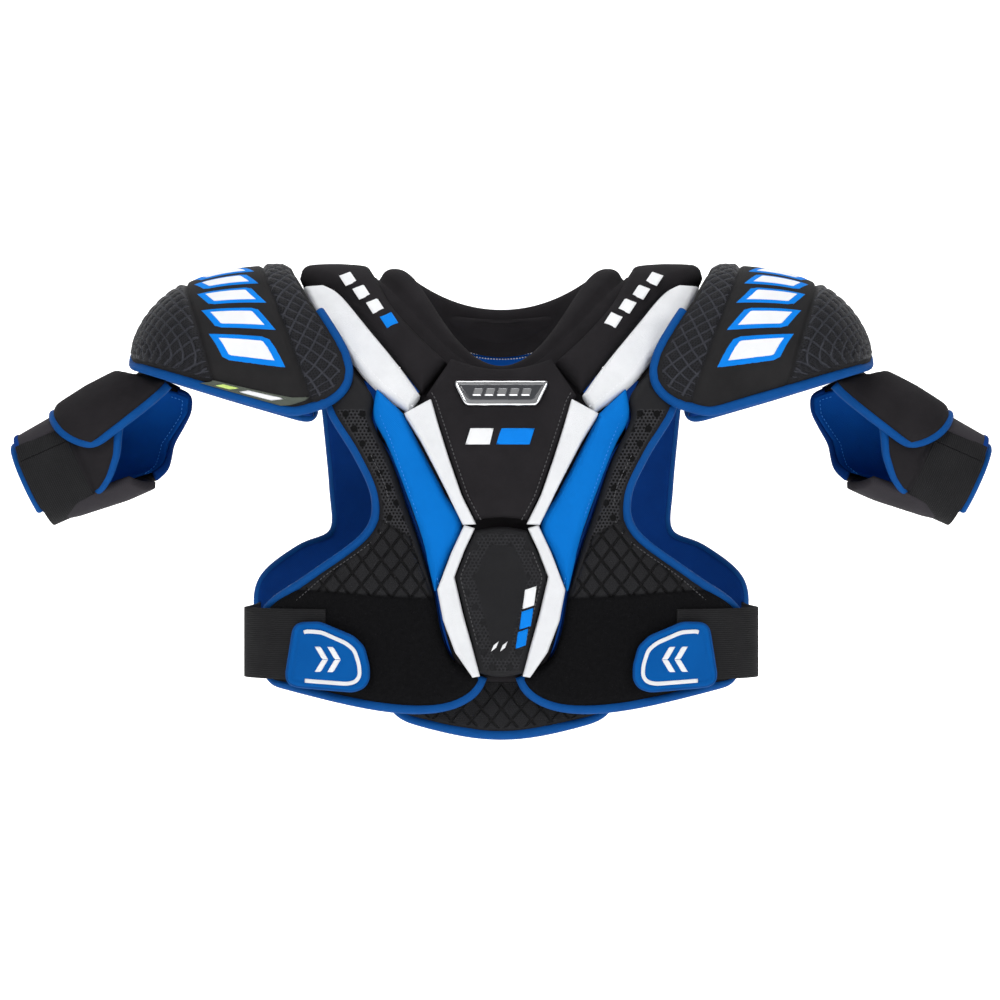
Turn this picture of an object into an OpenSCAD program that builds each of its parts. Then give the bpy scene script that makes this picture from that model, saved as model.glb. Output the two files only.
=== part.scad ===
// Ice hockey shoulder pads, adult size Large, worn shape.
// X points to the wearer's left, Y to the wearer's back and Z up. The origin is at the
// middle of the neck, on top of the wearer's shoulders. All sizes are in millimetres.
// Every torso piece is a patch of one wrapped surface: it has an outline in X and Z, and
// it lies between two heights above the wearer's body.

/* [Torso] */
// Half width of the chest pattern at its widest point
chest_half_w = 190; // [160:1:228]
// Height from the shoulders down to the lowest edge of the chest
chest_h = 334; // [279:1:401]
// Depth of the wearer's chest in front of the shoulder line
chest_depth = 116; // [96:1:140]
// Depth of the wearer's back behind the shoulder line
back_depth = 112; // [92:1:135]
// Half width of the back pattern at its side wings
back_half_w = 202; // [169:1:242]

/* [Layers] */
// Thickness of the soft lining next to the body
liner_t = 3; // [2:0.1:4]
// Thickness of the chest and back padding
pad_t = 12; // [9:0.1:14.4]
// Thickness of the raised sternum plates
plate_t = 20; // [16:0.1:24]
// Thickness of the stiff sheets inside the plates
sheet_t = 2.2; // [1.5:0.1:3]
// Thickness of the yoke pads on the shoulders
yoke_t = 17; // [14:0.1:20]
// Width of the bound edges
binding_w = 5; // [4:0.1:6]

/* [Collar] */
// Half width of the collar's centre line at the sides of the neck
neck_half_w = 88; // [80:1:96]
// Radius of the collar roll
collar_r = 11; // [9:0.1:13]

/* [Shoulder caps] */
// Length of a cap from the shoulder seam to its tip
cap_len = 145; // [121:1:174]
// Half width of a cap from front to back
cap_half_w = 110; // [92:1:132]
// Rise of a cap above its lower edge
cap_rise = 122; // [116:1:146]
// Thickness of a cap's padded cover
cover_t = 9; // [7:0.1:11]
// Thickness of the hard shell in a cap
shell_t = 2.5; // [2:0.1:3]
// Thickness of a cap's foam liner
foam_t = 7; // [5:0.1:9]

/* [Arms] */
// Length of an arm guard along the arm
arm_len = 137; // [114:1:165]
// Outer radius of an arm sleeve at the shoulder end
arm_r = 44; // [40:0.1:48]
// Loss of radius from the shoulder end to the elbow end
arm_taper = 14; // [8:0.1:16]
// Angle of the arm below the horizontal
arm_drop = 24; // [20:1:30]

/* [Straps] */
// Width of the waist straps
strap_w = 56; // [46:1:66]
// Thickness of all elastic straps
strap_t = 2.4; // [2:0.1:3]
// Length of a strap tab across the chest
tab_len = 64; // [54:1:70]

/* [Hidden] */

black = "#17181b";
blue = "#1668d8";
navy = "#123a80";
white = "#f2f2f0";
grey = "#4a4c50";

// Space between two layers, between neighbours in one layer, and round moving pieces
layer_gap = 1;
seam_gap = 0.8;
move_gap = 1.2;

// Heights above the body at which each layer starts and stops
pad_in = liner_t + layer_gap;
pad_out = pad_in + pad_t;
sheet_out = pad_in + sheet_t;
plate_in = sheet_out + layer_gap;
plate_out = pad_in + plate_t;
trim_out = plate_out - 3;
insert_out = pad_out + 3;
yoke_out = pad_in + yoke_t;
yoke_trim_out = yoke_out - 3;
strap_in = pad_out + move_gap;
strap_out = strap_in + strap_t;
tab_in = strap_out + layer_gap;
tab_out = tab_in + 5;

// The wrapped surface: upright below chest_z, rounded over the shoulder above it
chest_z = -0.509 * chest_h;
rise = 2 - chest_z;
roundness = 2.6;
front_half = chest_half_w + 8;
back_half = back_half_w + 30;
top_mid = pad_out;
pattern_chest_w = 190;
pattern_back_w = 202;
pattern_h = 334;
top = 99;
shoulder_stop = 89.75;

function girth(x, half) =
    pow(1 - pow(min(0.985, abs(x) / half), roundness), 1 / roundness);
function climb(z) = asin(max(-1, min(1, (z - chest_z) / (rise + top_mid))));
function wrap(x, z, off, depth, half) =
    let (q = min(shoulder_stop, climb(z)), g = girth(x, half + off))
    z < chest_z ? [x, (depth + off) * g, z]
                : [x, (depth + off) * cos(q) * g, chest_z + (rise + off) * sin(q)];
function in_front(p, off) =
    let (w = wrap(p[0], p[1], off, chest_depth, front_half)) [w[0], -w[1], w[2]];
function behind(p, off) = wrap(p[0], p[1], off, back_depth, back_half);

// Outlines are drawn for a size Large and graded to the wanted width and height
function graded(list, kx) =
    [for (p = list)
        [p[0] * kx, p[1] == top ? chest_z + rise + top_mid : p[1] * chest_h / pattern_h]];
function chest_line(list) = graded(list, chest_half_w / pattern_chest_w);
function back_line(list) = graded(list, back_half_w / pattern_back_w);
function mirrored(list) = [for (p = list) [-p[0], p[1]]];
function moved(list, dx, dz = 0) = [for (p = list) [p[0] + dx, p[1] + dz]];
function along(list, v) =
    let (n = len(list) - 1, i = min(n - 1, floor(v * n + 1e-9)), f = v * n - i)
    list[i] * (1 - f) + list[i + 1] * f;

// A closed patch from two equal grids of points, (across + 1) by (down + 1). Every cell is
// cut along the same diagonal, so that neighbouring layers keep their distance.
module patch(outer, inner, across, down) {
    row = across + 1;
    count = row * (down + 1);
    skin = [for (j = [0:down - 1], i = [0:across - 1])
        let (a = j * row + i) each [[a, a + 1, a + row + 1], [a, a + row + 1, a + row]]];
    back = [for (f = skin) [f[2] + count, f[1] + count, f[0] + count]];
    rim = concat(
        [for (i = [0:across]) i],
        [for (j = [1:down]) j * row + across],
        [for (i = [across - 1:-1:0]) down * row + i],
        [for (j = [down - 1:-1:1]) j * row]);
    edge = [for (k = [0:len(rim) - 1])
        let (a = rim[k], b = rim[(k + 1) % len(rim)]) [b, a, a + count, b + count]];
    polyhedron(concat(outer, inner), concat(skin, back, edge));
}

// A grid of points between two edge lines, lowered by dips at its first and last rows
function mesh_points(a, b, across, down, dips) =
    [for (j = [0:down], i = [0:across])
        let (u = i / across, v = j / down, p = along(a, v) * (1 - u) + along(b, v) * u)
        [p[0], p[1] - sin(180 * u) * (j == 0 ? dips[0] : j == down ? dips[1] : 0)]];

module front_patch(a, b, from, to, across, down, dips = [0, 0]) {
    grid = mesh_points(a, b, across, down, dips);
    patch([for (p = grid) in_front(p, to)], [for (p = grid) in_front(p, from)], across, down);
}
module back_patch(a, b, from, to, across, down, dips = [0, 0]) {
    grid = mesh_points(a, b, across, down, dips);
    patch([for (p = grid) behind(p, from)], [for (p = grid) behind(p, to)], across, down);
}
module right_side() mirror([1, 0, 0]) children();

// --- Edge lines of the left half, from the top down ---
chest_inner = chest_line([[164, 7], [147, -27], [128, -50], [101.5, -81], [100.5, -102],
    [86, -134], [74, -170], [62.5, -203], [52, -239], [45.5, -272], [38, -294], [25, -311]]);
chest_outer = chest_line([[166.5, 12], [157, -30], [148, -52], [138, -80], [132, -99],
    [112, -132], [98, -166], [105, -195], [150, -229], [186, -255], [190, -285],
    [182, -312]]);
chest_bottom = chest_line([[28, -315], [60, -328], [104, -334], [148, -328], [180, -315]]);
insert_inner = chest_line([[73, -102], [62, -121], [52, -140], [42, -160], [31, -187],
    [40, -211], [49.5, -236]]);
insert_outer = chest_line([[97.5, -80], [98.5, -102], [88, -124], [79, -148], [70, -174],
    [60.5, -202], [51, -236]]);
trim_inner = chest_line([[57, -93], [49.5, -115], [42, -137], [32, -165], [21, -186]]);
trim_outer = chest_line([[71, -102], [60, -121], [50, -140], [40, -160], [28, -186]]);
plate_edge = chest_line([[40, -59], [59.5, -87], [55.5, -93], [48, -115], [40.5, -137],
    [30.5, -165], [20, -184]]);
low_plate_edge = chest_line([[20, -192], [28, -208], [36, -228], [29, -258],
    [23, -281], [17.5, -304]]);
low_trim_inner = chest_line([[21.5, -191.5], [29.5, -207], [37.5, -228], [30.5, -258],
    [24.5, -281], [19, -304]]);
low_trim_outer = chest_line([[27, -188.5], [37, -209], [48, -238], [44, -260],
    [36, -284], [23, -305]]);
yoke_inner = chest_line([[104, top], [100, 8], [89, -12], [68, -36], [43.5, -58]]);
yoke_outer = chest_line([[166, top], [151, 9], [128, -1], [101, -33], [63, -83]]);
yoke_trim_in = chest_line([[143, 4], [128.5, -5], [103, -35], [80, -63], [63.5, -86]]);
yoke_trim_out_line = chest_line([[160, 3], [144, -27], [126, -49], [99, -79], [73, -99]]);
backing_edge = chest_line([[38, -62], [60, -86], [98, -104], [84, -135], [72, -171],
    [60.5, -204], [50, -240], [43.5, -273], [36, -295], [23, -309]]);
belly_edge = chest_line([[88, -292], [90, -318], [80, -336], [62, -343]]);
back_edge = back_line([[150, -64], [146, -110], [142, -160], [142, -196], [171, -210],
    [202, -238], [201, -280], [190, -306]]);
back_bottom = back_line([[-184, -307.5], [-98, -319.5], [0, -325], [98, -319.5],
    [184, -307.5]]);
back_yoke_in = back_line([[104, top], [98, 6], [84, -18], [62, -36], [40, -46]]);
back_yoke_out = back_line([[166, top], [163, -2], [158, -20], [154, -38], [151, -59]]);
spine_edge = back_line([[42, -78], [50, -120], [46, -190], [40, -260], [28, -298]]);

// --- Chest ---
module chest_panel() color(black)
    front_patch(chest_inner, chest_outer, pad_in, pad_out, 5, 22, [0, 21]);
module chest_liner() color(navy)
    front_patch(chest_inner, chest_outer, 0, liner_t, 4, 11, [0, 20]);
// Bound edge from the lower corner of the shoulder cap down the side and along the bottom
module chest_binding() color(blue) {
    side = [for (i = [4:11]) chest_outer[i]];
    front_patch(moved(side, seam_gap), moved(side, seam_gap + binding_w),
        pad_in - 1, pad_out + 1, 1, 14);
    front_patch(moved(chest_bottom, 0, -seam_gap - binding_w),
        moved(chest_bottom, 0, -seam_gap), pad_in - 1, pad_out + 1, 1, 8);
}
// Soft layer that joins the two chest halves behind the sternum plates
module sternum_backing() color(black)
    front_patch(mirrored(backing_edge), backing_edge, 0, liner_t, 6, 9, [8, 2]);
module chest_insert() color(blue)
    front_patch(insert_inner, insert_outer, pad_in, insert_out, 3, 12);
module sternum_plate_upper() color(black)
    front_patch(mirrored(plate_edge), plate_edge, plate_in, plate_out, 6, 6, [8, -2]);
module sternum_sheet_upper() color(grey)
    front_patch(moved(mirrored(plate_edge), 3), moved(plate_edge, -3), pad_in, sheet_out,
        6, 6, [8, -2]);
module sternum_trim() color(white)
    front_patch(trim_inner, trim_outer, pad_in, trim_out, 1, 8);
badge_line = chest_line([[37, -81], [29, -98]]);
module badge() color("silver")
    front_patch(mirrored(badge_line), badge_line, plate_out + layer_gap, plate_out + 4, 4, 1);
module yoke_pad() color(black)
    front_patch(yoke_inner, yoke_outer, pad_in, yoke_out, 3, 8);
module yoke_trim() color(white)
    front_patch(yoke_trim_in, yoke_trim_out_line, pad_in, yoke_trim_out, 1, 8);

// --- Lower sternum plate, which flexes at the gap below the upper plate ---
module sternum_plate_lower() color(black)
    front_patch(mirrored(low_plate_edge), low_plate_edge, plate_in, plate_out, 4, 10,
        [-3, 3]);
module sternum_sheet_lower() color(grey)
    front_patch(moved(mirrored(low_plate_edge), 3), moved(low_plate_edge, -3),
        pad_in, sheet_out, 4, 10, [-3, 3]);
module lower_trim() color(white)
    front_patch(low_trim_inner, low_trim_outer, pad_in, trim_out, 1, 10);

// --- Belly pad, which hangs behind the chest panels ---
belly_out = -move_gap;
belly_in = belly_out - 9;
module belly_pad() color(black)
    front_patch(mirrored(belly_edge), belly_edge, belly_in, belly_out, 8, 6, [0, 10]);
module belly_binding() {
    count = 8;
    half = belly_edge[3][0];
    curve = [for (i = [0:count])
        let (u = i / count)
        [half * (2 * u - 1), belly_edge[3][1] - 10 * sin(180 * u) - seam_gap]];
    color(blue) front_patch(moved(curve, 0, -binding_w), curve, belly_in, belly_out, 1, count);
}

// --- Collar roll: a tube round the neck, split over the shoulders ---
front_neck = 96;
back_neck = 80;
function collar_front_mid(t) = [neck_half_w * sin(t), -front_neck * pow(cos(t), 1.5) - 0.5,
    11 - 61 * pow(cos(t), 3)];
function collar_back_mid(t) = [neck_half_w * sin(t), back_neck * pow(cos(t), 1.2) + 0.5,
    11 - 30 * pow(cos(t), 2)];
module roll(mids, stretch, heading) {
    sides = 10;
    rings = len(mids);
    points = [for (k = [0:rings - 1], s = [0:sides - 1])
        let (
            before = mids[max(0, k - 1)],
            after = mids[min(rings - 1, k + 1)],
            way = k == 0 ? [0, heading, 0] : k == rings - 1 ? [0, -heading, 0]
                : (after - before) / norm(after - before),
            out0 = cross(way, [0, 0, 1]),
            out = out0 / norm(out0),
            up = cross(out, way),
            a = 360 * s / sides)
        mids[k] + out * collar_r * cos(a) + up * stretch[k] * sin(a)];
    walls = [for (k = [0:rings - 2], s = [0:sides - 1])
        let (a = k * sides + s, b = k * sides + (s + 1) % sides)
        [a, b, b + sides, a + sides]];
    first = [for (s = [sides - 1:-1:0]) s];
    last = [for (s = [0:sides - 1]) (rings - 1) * sides + s];
    polyhedron(points, concat(walls, [first], [last]));
}
module collar_front() {
    steps = 14;
    mids = [for (k = [0:steps]) collar_front_mid(-90 + 180 * k / steps)];
    color(black) roll(mids, [for (m = mids) collar_r], -1);
}
module collar_back() {
    steps = 12;
    mids = [for (k = [0:steps]) collar_back_mid(90 - 180 * k / steps)];
    color(black) roll(mids, [for (k = [0:steps]) collar_r + 4 * sin(180 * k / steps)], 1);
}

// --- Back ---
module back_panel() color(black)
    back_patch(mirrored(back_edge), back_edge, pad_in, pad_out, 10, 14, [-16, 18]);
module back_liner() color(navy)
    back_patch(mirrored(back_edge), back_edge, 0, liner_t, 10, 14, [-16, 18]);
module back_binding() color(blue) {
    edge = [for (i = [1:7]) back_edge[i]];
    back_patch(moved(edge, seam_gap), moved(edge, seam_gap + binding_w),
        pad_in - 1, pad_out + 1, 1, 12);
    right_side() back_patch(moved(edge, seam_gap), moved(edge, seam_gap + binding_w),
        pad_in - 1, pad_out + 1, 1, 12);
    back_patch(moved(back_bottom, 0, -seam_gap - binding_w), moved(back_bottom, 0, -seam_gap),
        pad_in - 1, pad_out + 1, 1, 12);
}
module spine_sheet() color(grey)
    back_patch(moved(mirrored(spine_edge), 4), moved(spine_edge, -4), pad_out + layer_gap,
        pad_out + layer_gap + sheet_t, 4, 8);
module spine_pad() color(black)
    back_patch(mirrored(spine_edge), spine_edge, pad_out + 2 * layer_gap + sheet_t,
        pad_out + 2 * layer_gap + sheet_t + 9, 4, 8);
module back_yoke() color(black)
    back_patch(back_yoke_in, back_yoke_out, pad_in, yoke_out, 4, 8);

// --- Waist straps: from the back's side edge round to the chest ---
strap_top = -0.76 * chest_h;
strap_end_x = 0.73 * chest_half_w;
tab_x = strap_end_x - 34;
strap_root = [back_edge[5][0] + seam_gap + binding_w + move_gap + strap_t, 84];
strap_steps = 10;
function side_curve(off) =
    let (a = front_half + off, b = chest_depth + off)
    [for (k = [0:strap_steps])
        let (x = strap_end_x + (a * 0.965 - strap_end_x) * sin(90 * k / strap_steps))
        [x, -b * girth(x, a)]];
module waist_strap() {
    inner = side_curve(strap_in);
    outer = side_curve(strap_out);
    color(black) translate([0, 0, strap_top - strap_w])
        linear_extrude(strap_w) polygon(concat(inner,
            [[strap_root[0] - strap_t, strap_root[1]], strap_root],
            [for (k = [strap_steps:-1:0]) outer[k]]));
}
tab_high = 52;
tab_z = strap_top - strap_w / 2 - 9;
module strap_tab() {
    inner = [[tab_x + 3, tab_z + tab_high / 2], [tab_x, tab_z + tab_high / 2 - 12],
        [tab_x + 4, tab_z - tab_high / 2]];
    outer = [[tab_x + tab_len - 8, tab_z + tab_high / 2],
        [tab_x + tab_len, tab_z + tab_high / 2 - 12],
        [tab_x + tab_len - 4, tab_z - tab_high / 2]];
    color(blue) front_patch(inner, outer, tab_in, tab_out, 4, 2);
}
module hook_patch() {
    low = tab_z - tab_high / 2 + 5;
    high = tab_z + tab_high / 2 - 5;
    from = tab_x + 5;
    to = strap_end_x - 2;
    color(grey) front_patch([[from, high], [from, low]], [[to, high], [to, low]],
        strap_in, strap_out, 2, 1);
}

// --- Shoulder caps: domes over the shoulder joint ---
seam_x = 171 * chest_half_w / pattern_chest_w;
cap_mid = [seam_x - 11, 0, -100];
cap_sharp = 2.8;
// The inner edge reaches further over the chest than over the back
function cap_x(u, v, d) =
    let (
        reach = v < 0.5 ? 27 : 12,
        start = seam_x - reach * (1 - pow(sin(180 * v), 0.7)),
        tip = cap_mid[0] + (cap_len - d) * 0.965)
    start + (tip - start) * u;
function cap_edge_z(x) = cap_mid[2] + 3 + 40 * max(0, x - cap_mid[0] - 5) / (cap_len - 6);
function cap_point(u, v, d) =
    let (
        x = cap_x(u, v, d),
        c = max(0, x - cap_mid[0]) / (cap_len - d),
        k = pow(1 - pow(c, cap_sharp), 1 / cap_sharp),
        high = (cap_rise - d) * k,
        low = min(0.93, (cap_edge_z(x) - cap_mid[2]) / high),
        start = asin(pow(low, cap_sharp / 2)),
        a = start + (180 - 2 * start) * v)
    [x, -(cap_half_w - d) * k * sign(cos(a)) * pow(abs(cos(a)), 2 / cap_sharp),
        cap_mid[2] + high * pow(sin(a), 2 / cap_sharp)];
cap_across = 7;
cap_down = 12;
function cap_grid(d) = [for (j = [0:cap_down], i = [0:cap_across])
    cap_point(i / cap_across, j / cap_down, d)];
module cap_layer(d0, d1) patch(cap_grid(d0), cap_grid(d1), cap_across, cap_down);
module cap_cover() color(black) cap_layer(0, cover_t);
module cap_shell() color(white)
    cap_layer(cover_t + layer_gap, cover_t + layer_gap + shell_t);
module cap_liner() color(navy)
    cap_layer(cover_t + shell_t + 2 * layer_gap, cover_t + shell_t + 2 * layer_gap + foam_t);
// Bound lower edge of a cap, below the front, tip and back edges of the cover
module cap_binding() {
    steps = 20;
    rim_uv = [for (k = [0:steps])
        k < 7 ? [k / 7, 0] : k <= 13 ? [1, (k - 7) / 6] : [(steps - k) / 7, 1]];
    function rim_row(d, drop) = [for (r = rim_uv) cap_point(r[0], r[1], d) - [0, 0, drop]];
    color(blue) patch(concat(rim_row(-0.5, seam_gap), rim_row(-0.5, seam_gap + binding_w)),
        concat(rim_row(cover_t, seam_gap), rim_row(cover_t, seam_gap + binding_w)), steps, 1);
}
// Flat cloth tag on the front lower edge of the right cap
module cap_tag() color(grey)
    translate([-seam_x - 52, -cap_half_w - 3, -92]) cube([54, 1.4, 8]);

// --- Arm guards: open sleeves round the upper arm ---
arm_root = [seam_x + cap_len - 54, 0, -94];
arm_way = [cos(arm_drop), 0, -sin(arm_drop)];
arm_up = [sin(arm_drop), 0, cos(arm_drop)];
function arm_point(s, a, r) =
    let (rr = r - arm_taper * s / arm_len)
    arm_root + arm_way * s + arm_up * rr * cos(a) + [0, 1.12 * rr * sin(a), 0];
// The shoulder end is cut back where the sleeve would meet the cap's tip
function arm_start(a) = 12 + 20 * pow(max(0, cos(a)), 1.6);
module arm_patch(a0, a1, r_in, r_out, s0, s1, across, down, cut = true) {
    function grid(r) = [for (j = [0:down], i = [0:across])
        let (a = a0 + (a1 - a0) * i / across,
            from = max(s0, cut ? arm_start(a) : s0))
        arm_point(from + (s1 - from) * j / down, a, r)];
    patch(grid(r_out), grid(r_in), across, down);
}
sleeve_out = arm_r;
sleeve_in = sleeve_out - 6;
module arm_sleeve() color(black)
    arm_patch(-125, 125, sleeve_in, sleeve_out, 0, arm_len, 14, 3);
module arm_lining() color(blue)
    arm_patch(-122, 122, sleeve_in - 3, sleeve_in - 1, 0, arm_len - 3, 14, 3);
module bicep_sheet() color(grey)
    arm_patch(-48, 48, sleeve_out + 1, sleeve_out + 3, 0, 92, 7, 2);
module bicep_pad() color(black)
    arm_patch(-66, 66, sleeve_out + 4, sleeve_out + 10, 0, 100, 8, 3);
module arm_grip() color(grey)
    arm_patch(129, 231, sleeve_in - 1, sleeve_out - 2, 88, arm_len, 6, 2, false);
module arm_strap() color(black)
    arm_patch(-205, -74, sleeve_out + 1, sleeve_out + 1 + strap_t, 92, arm_len - 4, 9, 1,
        false);

chest_panel();  // chest_panel_left
right_side() chest_panel();  // chest_panel_right
chest_liner();  // chest_liner_left
right_side() chest_liner();  // chest_liner_right
chest_binding();  // chest_binding_left
right_side() chest_binding();  // chest_binding_right
chest_insert();  // chest_insert_left
right_side() chest_insert();  // chest_insert_right
sternum_plate_upper();
sternum_sheet_upper();
sternum_trim();  // sternum_trim_left
right_side() sternum_trim();  // sternum_trim_right
badge();
yoke_pad();  // yoke_pad_left
right_side() yoke_pad();  // yoke_pad_right
yoke_trim();  // yoke_trim_left
right_side() yoke_trim();  // yoke_trim_right
sternum_backing();
collar_front();
back_panel();
back_liner();
back_binding();
spine_sheet();
spine_pad();
back_yoke();  // back_yoke_left
right_side() back_yoke();  // back_yoke_right
collar_back();
sternum_plate_lower();
sternum_sheet_lower();
lower_trim();  // lower_trim_left
right_side() lower_trim();  // lower_trim_right
belly_pad();
belly_binding();
waist_strap();  // waist_strap_left
right_side() waist_strap();  // waist_strap_right
strap_tab();  // strap_tab_left
right_side() strap_tab();  // strap_tab_right
hook_patch();  // hook_patch_left
right_side() hook_patch();  // hook_patch_right
cap_cover();  // cap_cover_left
right_side() cap_cover();  // cap_cover_right
cap_shell();  // cap_shell_left
right_side() cap_shell();  // cap_shell_right
cap_liner();  // cap_liner_left
right_side() cap_liner();  // cap_liner_right
cap_binding();  // cap_binding_left
right_side() cap_binding();  // cap_binding_right
cap_tag();
bicep_pad();  // bicep_pad_left
right_side() bicep_pad();  // bicep_pad_right
bicep_sheet();  // bicep_sheet_left
right_side() bicep_sheet();  // bicep_sheet_right
arm_sleeve();  // arm_sleeve_left
right_side() arm_sleeve();  // arm_sleeve_right
arm_lining();  // arm_lining_left
right_side() arm_lining();  // arm_lining_right
arm_grip();  // arm_grip_left
right_side() arm_grip();  // arm_grip_right
arm_strap();  // arm_strap_left
right_side() arm_strap();  // arm_strap_right
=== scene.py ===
import math
import bpy
import numpy as np
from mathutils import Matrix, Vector
from mathutils.bvhtree import BVHTree
from mathutils.kdtree import KDTree


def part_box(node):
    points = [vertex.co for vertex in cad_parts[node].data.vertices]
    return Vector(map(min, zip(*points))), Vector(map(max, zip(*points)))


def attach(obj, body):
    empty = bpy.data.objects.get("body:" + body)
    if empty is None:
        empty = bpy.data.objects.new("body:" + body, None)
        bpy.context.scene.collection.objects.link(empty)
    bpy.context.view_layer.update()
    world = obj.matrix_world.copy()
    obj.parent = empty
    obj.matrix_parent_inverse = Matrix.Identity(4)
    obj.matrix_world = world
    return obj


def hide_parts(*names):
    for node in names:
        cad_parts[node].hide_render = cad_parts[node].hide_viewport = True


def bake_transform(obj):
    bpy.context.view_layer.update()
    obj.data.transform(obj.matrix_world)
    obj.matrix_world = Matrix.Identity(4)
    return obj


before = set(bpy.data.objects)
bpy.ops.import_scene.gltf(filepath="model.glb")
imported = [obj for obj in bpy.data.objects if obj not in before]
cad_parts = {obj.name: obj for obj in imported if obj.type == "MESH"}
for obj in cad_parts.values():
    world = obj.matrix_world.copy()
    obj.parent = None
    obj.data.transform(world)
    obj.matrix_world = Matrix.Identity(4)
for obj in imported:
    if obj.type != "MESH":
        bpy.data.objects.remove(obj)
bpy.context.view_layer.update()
MM = 0.001
WELD = 2e-5  # m, points this close are the same point
LEFT, RIGHT = 1, -1
SIDES = {"left": LEFT, "right": RIGHT}

# ---------------------------------------------------------------- sizes from the frame
# Sizes are in millimetres here, because the patterns are; meshes are made in metres.
liner_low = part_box("chest_liner_left")[0] * 1000
chest_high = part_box("chest_panel_left")[1] * 1000
back_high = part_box("back_panel")[1] * 1000
LINER = 3.0
PAD_IN = LINER + 1.0
PAD_OUT = PAD_IN + 12.0
PLATE_OUT = PAD_IN + 20.0
YOKE_OUT = PAD_IN + 17.0
CHEST_DEPTH = round(-liner_low.y - LINER + 1.0)
BACK_DEPTH = round(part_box("back_liner")[1].y * 1000 - LINER)
FRONT_HALF = round(chest_high.x) + 8.0
BACK_HALF = round(back_high.x) + 30.0
CHEST_Z = -170.0
RISE = 172.0
TOP = 18.0
ROUND = 2.6


# ---------------------------------------------------------------- the worn surface
def girth(x, half):
    """Share of the torso's depth that is left x mm from its middle."""
    return (1 - np.minimum(0.985, np.abs(x) / half) ** ROUND) ** (1 / ROUND)


def run_along(path):
    """Lengths from the start of a path to each of its points."""
    steps = np.linalg.norm(np.diff(path, axis=0), axis=1)
    return np.concatenate([[0], np.cumsum(steps)])


def runs_over(grid, axis):
    """Lengths over a grid of points to each of them, along one of its two axes."""
    steps = np.linalg.norm(np.diff(grid, axis=axis), axis=-1)
    first = np.zeros_like(steps.take([0], axis))
    return np.concatenate([first, np.cumsum(steps, axis=axis)], axis)


def inside(shape):
    """1 within a grid of this shape, 0 on its rim."""
    share = np.zeros(shape)
    share[1:-1, 1:-1] = 1
    return share


def blank_tint(shape):
    """Zone colours for a grid: nothing in any zone yet, and solid."""
    tint = np.zeros(shape + (4,))
    tint[..., 3] = 1
    return tint


def worn(x, z, off, side="front"):
    """Points off mm above the wearer's body, for pattern places x, z in mm."""
    depth, half = (CHEST_DEPTH, FRONT_HALF) if side == "front" else (BACK_DEPTH, BACK_HALF)
    x, z, off = np.broadcast_arrays(*(np.asarray(a, float) for a in (x, z, off)))
    sine = np.clip((z - CHEST_Z) / (RISE + PAD_OUT), 0, 1)
    upright = z < CHEST_Z
    cosine = np.where(upright, 1, np.sqrt(1 - sine ** 2))
    y = (depth + off) * cosine * girth(x, half + off)
    high = np.where(upright, z, CHEST_Z + (RISE + off) * sine)
    return np.stack([x, -y if side == "front" else y, high], -1)


def along(points, v, smooth=True):
    """Places at v (0 to 1) on a line through the given points, rounded at each point."""
    p = np.asarray(points, float)
    n = len(p) - 1
    t = np.clip(np.asarray(v, float), 0, 1) * n
    i = np.minimum(t.astype(int), n - 1)
    f = (t - i)[..., None]
    if not smooth:
        return p[i] * (1 - f) + p[i + 1] * f
    a, b, c, d = (p[np.clip(i + k, 0, n)] for k in (-1, 0, 1, 2))
    return 0.5 * (2 * b + (c - a) * f + (2 * a - 5 * b + 4 * c - d) * f ** 2
                  + (3 * b - a - 3 * c + d) * f ** 3)


def flipped(points):
    """The same line on the wearer's other side."""
    return [(-x, z) for x, z in points]


def shifted(points, dx, dz=0.0):
    return [(x + dx, z + dz) for x, z in points]


# ---------------------------------------------------------------- pattern lines, left half
CHEST_INNER = [(164, 7), (147, -27), (128, -50), (101.5, -81), (100.5, -102), (86, -134),
               (74, -170), (62.5, -203), (52, -239), (45.5, -272), (36, -293), (15, -306)]
CHEST_OUTER = [(166.5, 12), (157, -30), (148, -52), (138, -80), (132, -99), (112, -132),
               (98, -166), (105, -195), (150, -229), (186, -255), (190, -285), (182, -312)]
INSERT_INNER = [(76, -101), (65, -121), (54.5, -141), (43.5, -162), (31.5, -187),
                (41, -211), (50.5, -237)]
INSERT_OUTER = [(97.5, -80), (99.5, -102), (90, -124), (81, -148), (71.5, -174),
                (61.5, -202), (52, -238)]
TRIM_INNER = [(55, -91), (48.5, -113), (41, -136), (31, -164), (19.5, -187)]
TRIM_OUTER = [(76, -102), (64, -121), (53.5, -141), (42.5, -162), (30, -187.5)]
PLATE_EDGE = [(40, -59), (59.5, -87), (55.5, -93), (48, -115), (40.5, -137), (30.5, -165),
              (20, -184)]
LOW_PLATE_EDGE = [(20, -192), (28, -208), (36, -228), (28.5, -258), (22.5, -281),
                  (17.5, -303)]
LOW_TRIM_INNER = [(20.5, -190), (28.5, -207), (36.5, -228), (29.5, -258), (23, -281),
                  (16.5, -305.5)]
LOW_TRIM_OUTER = [(29, -187.5), (39, -209), (50, -238), (45.5, -262), (36, -287),
                  (22.5, -306.5)]
YOKE_INNER = [(104, TOP), (100, 8), (89, -12), (68, -36), (43.5, -58)]
YOKE_OUTER = [(166, TOP), (151, 9), (128, -1), (101, -33), (63, -83)]
YOKE_TRIM_IN = [(143, 4), (128.5, -5), (103, -35), (80, -63), (63.5, -86)]
YOKE_TRIM_OUT = [(160, 3), (144, -27), (126, -49), (99, -79), (73, -99)]
BACK_EDGE = [(150, -64), (146, -110), (142, -160), (142, -196), (171, -210), (202, -238),
             (201, -280), (190, -306)]
BACK_YOKE_IN = [(104, TOP), (98, 6), (84, -18), (62, -36), (40, -46)]
BACK_YOKE_OUT = [(166, TOP), (163, -2), (158, -20), (154, -38), (151, -59)]
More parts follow.
